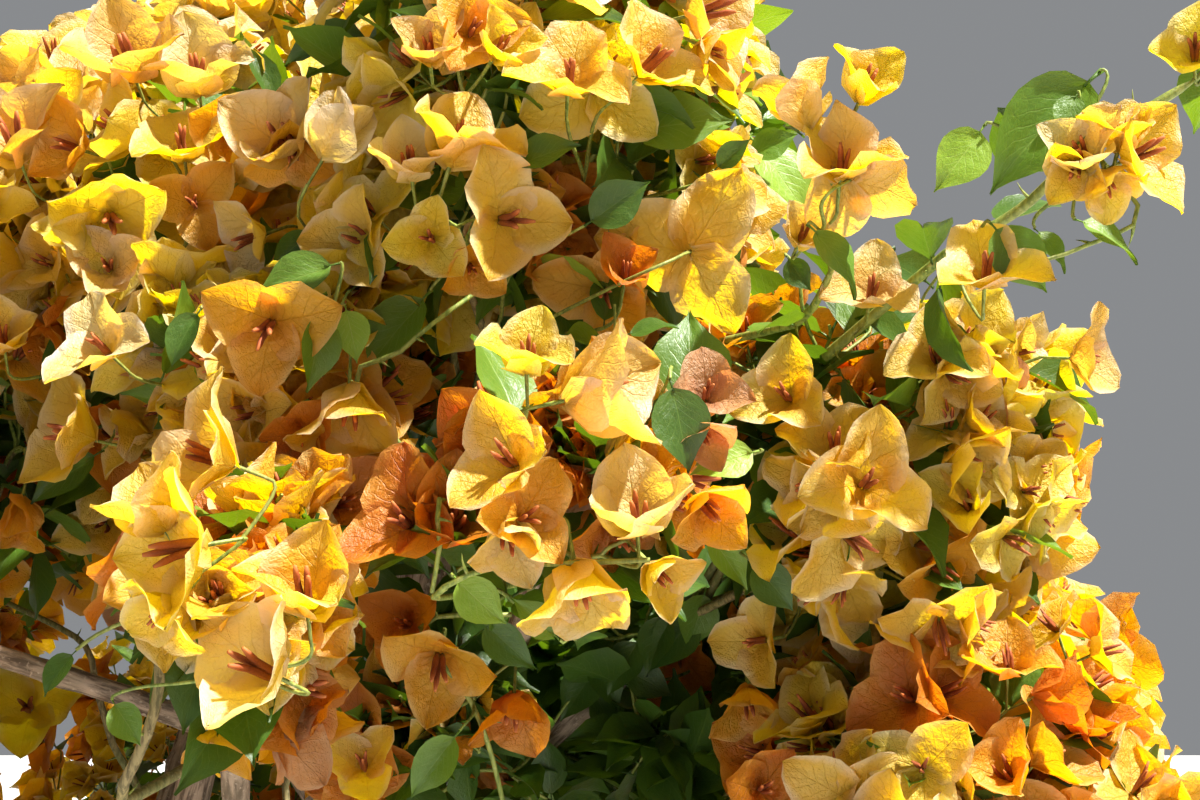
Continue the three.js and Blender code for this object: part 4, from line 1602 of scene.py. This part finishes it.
# Leaves along the long shoots, one to each side in turn
shootLeaves = {"gap": 0.042, "from": 0.2, "to": 0.97, "span": (0.038, 0.062)}
for name in shootNames:
    path = smoothPath(limbs[name][0], 80)
    steps = np.arange(shootLeaves["from"], shootLeaves["to"], shootLeaves["gap"] / pathLength(path))
    for k, share in enumerate(steps):
        i = int(share * 79)
        along = unit(path[min(i + 1, 79)] - path[i - 1])
        across = unit(np.cross(along, (0, 0, 1))) * (1 if k % 2 else -1)
        heading = unit(across + 0.5 * along + 0.3 * draw.normal(size=3))
        facing = squareTo(unit((0, 0, 1) + 0.3 * draw.normal(size=3)), heading)
        span = draw.uniform(*shootLeaves["span"])
        if not coversSingle(path[i] + heading * span * 0.6, span * 0.5):
            tone = tuple(leafTones)[int(draw.integers(3))]
            addLeaf(path[i], heading, facing, span, tone, levelAt(path[i]), draw)
print("sprays:", len(flowers["place"]), "flowers,", len(leaves["place"]), "leaves")


# Canes that the photograph shows singly: pixels with depth, thickness in millimetres at both ends, and wood
singleCanes = [
    ([(436, 598, 0.0), (470, 574, -0.012), (512, 566, -0.022), (580, 563, -0.03),
     (650, 560, -0.03)], 1.9, 1.3, "green"),
    ([(425, 620, 0.0), (440, 660, -0.01), (470, 700, -0.012), (490, 750, 0.0),
     (504, 806, 0.0)], 1.6, 1.5, "green"),
    ([(445, 500, 0.0), (440, 545, -0.012), (432, 592, 0.0)], 1.6, 1.3, "green"),
    ([(132, 812, 0.02), (112, 742, 0.0), (97, 690, -0.01), (88, 650, -0.01), (60, 628, 0.0),
     (-12, 594, 0.01)], 4.4, 2.2, "cane"),
    ([(126, 800, 0.03), (136, 760, 0.02), (153, 717, 0.02), (160, 660, 0.02),
     (140, 610, 0.03)], 3.4, 2.6, "cane"),
    ([(290, 812, 0.03), (289, 760, 0.03), (293, 700, 0.03), (300, 640, 0.03)], 3.0, 2.6, "cane"),
    ([(160, 800, 0.0), (185, 770, 0.0), (236, 748, 0.0), (290, 762, 0.0)], 1.4, 0.9, "cane"),
    ([(360, 395, 0.0), (400, 352, -0.012), (440, 318, -0.014), (486, 286, 0.0)], 1.7, 1.4, "green"),
    ([(1140, 214, 0.0), (1085, 246, -0.01), (1030, 262, -0.01), (1000, 240, 0.0)], 1.5, 1.0, "green"),
]
caneShape = {"step": 0.012, "fewest": 10, "rooted": 0.01}
drawnCanes = []
for knots, thick, thin, wood in singleCanes:
    depth = float(np.median([depthAt(u, v) for u, v, _ in knots]))
    line = np.array([photoPoint(u, v, depth + off) for u, v, off in knots])
    # the foot goes on back to the nearest limb, behind what shows
    feet = [nearestOn(smoothPath(limbs[name][0], 60), line[0]) for name in limbNames]
    foot = min(feet, key=lambda spot: apart(spot, line[0]))
    if apart(foot, line[0]) > caneShape["rooted"]:
        line = np.vstack([foot, line])
    path = smoothPath(line, max(caneShape["fewest"], int(pathLength(line) / caneShape["step"])))
    drawnCanes.append((path, np.linspace(thick, thin, len(path)) / 1000, wood))

# Thorns: short curved cones that stand off the canes near the view
thornShape = {
    "gap": 0.034, "gapSpread": (0.7, 1.6), "clear": 0.01, "length": (0.006, 0.012), "bend": 0.35,
    "thick": 0.0011, "shares": (1.3, 0.85, 0.45, 0.1), "shootThick": 0.004,
}
draw = np.random.default_rng(41)
thorns = []
shootPaths = [smoothPath(limbs[name][0], 90) for name in shootNames]
shootCanes = [(path, np.full(len(path), thornShape["shootThick"]), "green") for path in shootPaths]
for path, width, _ in drawnCanes + shootCanes:
    spot = draw.uniform(thornShape["clear"], thornShape["gap"])
    length = pathLength(path)
    while spot < length - thornShape["clear"]:
        i = min(int(spot / length * (len(path) - 1)), len(path) - 2)
        along = unit(path[i + 1] - path[i])
        out = acrossOf(along, draw)
        reach = draw.uniform(*thornShape["length"])
        steps = np.linspace(0, 1, len(thornShape["shares"]))[:, None]
        thorn = path[i] + out * steps * (reach + width[i]) + along * steps**2 * reach * thornShape["bend"]
        thorns.append(turnedTube(thorn, thornShape["thick"] * np.array(thornShape["shares"]), 4))
        spot += thornShape["gap"] * draw.uniform(*thornShape["gapSpread"])


# Pieces: one for each kind and tone, each joined from its own points or paths
pieceLimit = 170000


def dress(piece, replaced=()):
    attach(piece, "root")
    if replaced:
        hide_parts(*replaced)
    total = triangleCount(piece.data)
    print("piece:", piece.name, total, "triangles")
    return total


def scatterPieces(name, rows, shapes, material, key, wanted, replaced=()):
    # as many pieces as keep each one below the number of triangles that a piece may have
    pick = np.flatnonzero(np.array(rows[key]) == wanted)
    counts = np.array([triangleCount(shape.data) for shape in shapes.objects])
    running = np.cumsum(counts[np.array(rows["form"])[pick]])
    total = 0
    for part, group in enumerate(np.array_split(pick, int(running[-1] // pieceLimit) + 1)):
        label = f"{name}_{part + 1}" if part else name
        settings = {"Forms": shapes, "Size_Spread": 0.04, "Seed": 30 + part, "Material": material}
        piece = growFrom(label, pointMesh(rows, group), scatterTree, **settings)
        total += dress(piece, () if part else replaced)
    return total


def canePiece(name, pairs, sides, material):
    return dress(growFrom(name, pathMesh(pairs), canesTree, Sides=sides, Material=material))


sprayNodes = sorted(shootOf)
bodyNodes = sorted(limbOf)
whole = 0
for tone, material in bractMaterials.items():
    replaced = sprayNodes if tone == "gold" else ()
    whole += scatterPieces("bracts_" + tone, flowers, bractShapes, material, "tone", tone, replaced)
for level in flowerLevels:
    name = "flower_tubes_" + level
    whole += scatterPieces(name, flowers, tubeShapes, tubeMaterial, "level", level)
for tone, material in leafMaterials.items():
    replaced = bodyNodes if tone == "dark" else ()
    whole += scatterPieces("leaves_" + tone, leaves, leafShapes, material, "tone", tone, replaced)
thickTwigs, fineTwigs = (
    [pair for pair in twigs if (pair[1][0] > twigShape["branchFrom"]) == thick] for thick in (True, False)
)
whole += canePiece("branches", thickTwigs, 6, caneMaterial)
whole += canePiece("twigs", fineTwigs, 4, greenMaterial)
whole += canePiece("flower_stalks", stalks, 3, greenMaterial)
for wood, material in (("green", greenMaterial), ("cane", caneMaterial)):
    pairs = [(path, width) for path, width, kind in drawnCanes if kind == wood]
    whole += canePiece("front_canes_" + wood, pairs, 10, material)
points, uvs, faces = joined(thorns)
piece = addPiece("thorns", meshOf("thorns", points, faces))
piece.data.materials.append(greenMaterial)
whole += dress(piece)
print("whole crown:", whole, "triangles")


# View, light and floor
cameraData = bpy.data.cameras.new("photo_view")
cameraData.lens = view["lens"]
cameraData.sensor_width = view["sensor"]
cameraData.clip_start = view["nearest"]
camera = bpy.data.objects.new("photo_view", cameraData)
camera.location = view["place"]
camera.rotation_euler = (math.radians(90 + view["pitch"]), 0, 0)
scene.collection.objects.link(camera)
scene.camera = camera

light = {
    "toSun": (0.46, -0.24, 0.85), "sun": 12.8, "sunSize": 2.2, "sunColour": (1.0, 0.975, 0.93),
    "sky": 0.27, "skyColour": (0.93, 0.96, 1.0, 1.0), "floorColour": (0.55, 0.55, 0.54, 1.0), "floorReach": 6,
    "floorRoughness": 0.9, "bounces": 4, "bouncesOfAKind": 2,
}
sunData = bpy.data.lights.new("sun", "SUN")
sunData.energy = light["sun"]
sunData.angle = math.radians(light["sunSize"])
sunData.color = light["sunColour"]
sun = bpy.data.objects.new("sun", sunData)
sun.rotation_euler = Vector(light["toSun"]).to_track_quat("Z", "Y").to_euler()
scene.collection.objects.link(sun)
world = bpy.data.worlds.new("pale_studio")
world.use_nodes = True
world.node_tree.nodes["Background"].inputs["Color"].default_value = light["skyColour"]
world.node_tree.nodes["Background"].inputs["Strength"].default_value = light["sky"]
scene.world = world
scene.view_settings.view_transform = "Standard"
scene.cycles.max_bounces = light["bounces"]
scene.cycles.diffuse_bounces = light["bouncesOfAKind"]
scene.cycles.glossy_bounces = light["bouncesOfAKind"]
scene.cycles.transmission_bounces = light["bouncesOfAKind"]

reach = light["floorReach"]
corners = [(-reach, -reach, 0), (reach, -reach, 0), (reach, reach, 0), (-reach, reach, 0)]
floorMesh = meshOf("floor", corners, [(0, 1, 2, 3)])
floor = addPiece("floor", floorMesh)
material, tree, output, skin = startMaterial("pale_floor")
skin.inputs["Base Color"].default_value = light["floorColour"]
skin.inputs["Roughness"].default_value = light["floorRoughness"]
tree.links.new(skin.outputs[0], output.inputs["Surface"])
floorMesh.materials.append(material)
floor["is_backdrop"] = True

low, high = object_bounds()
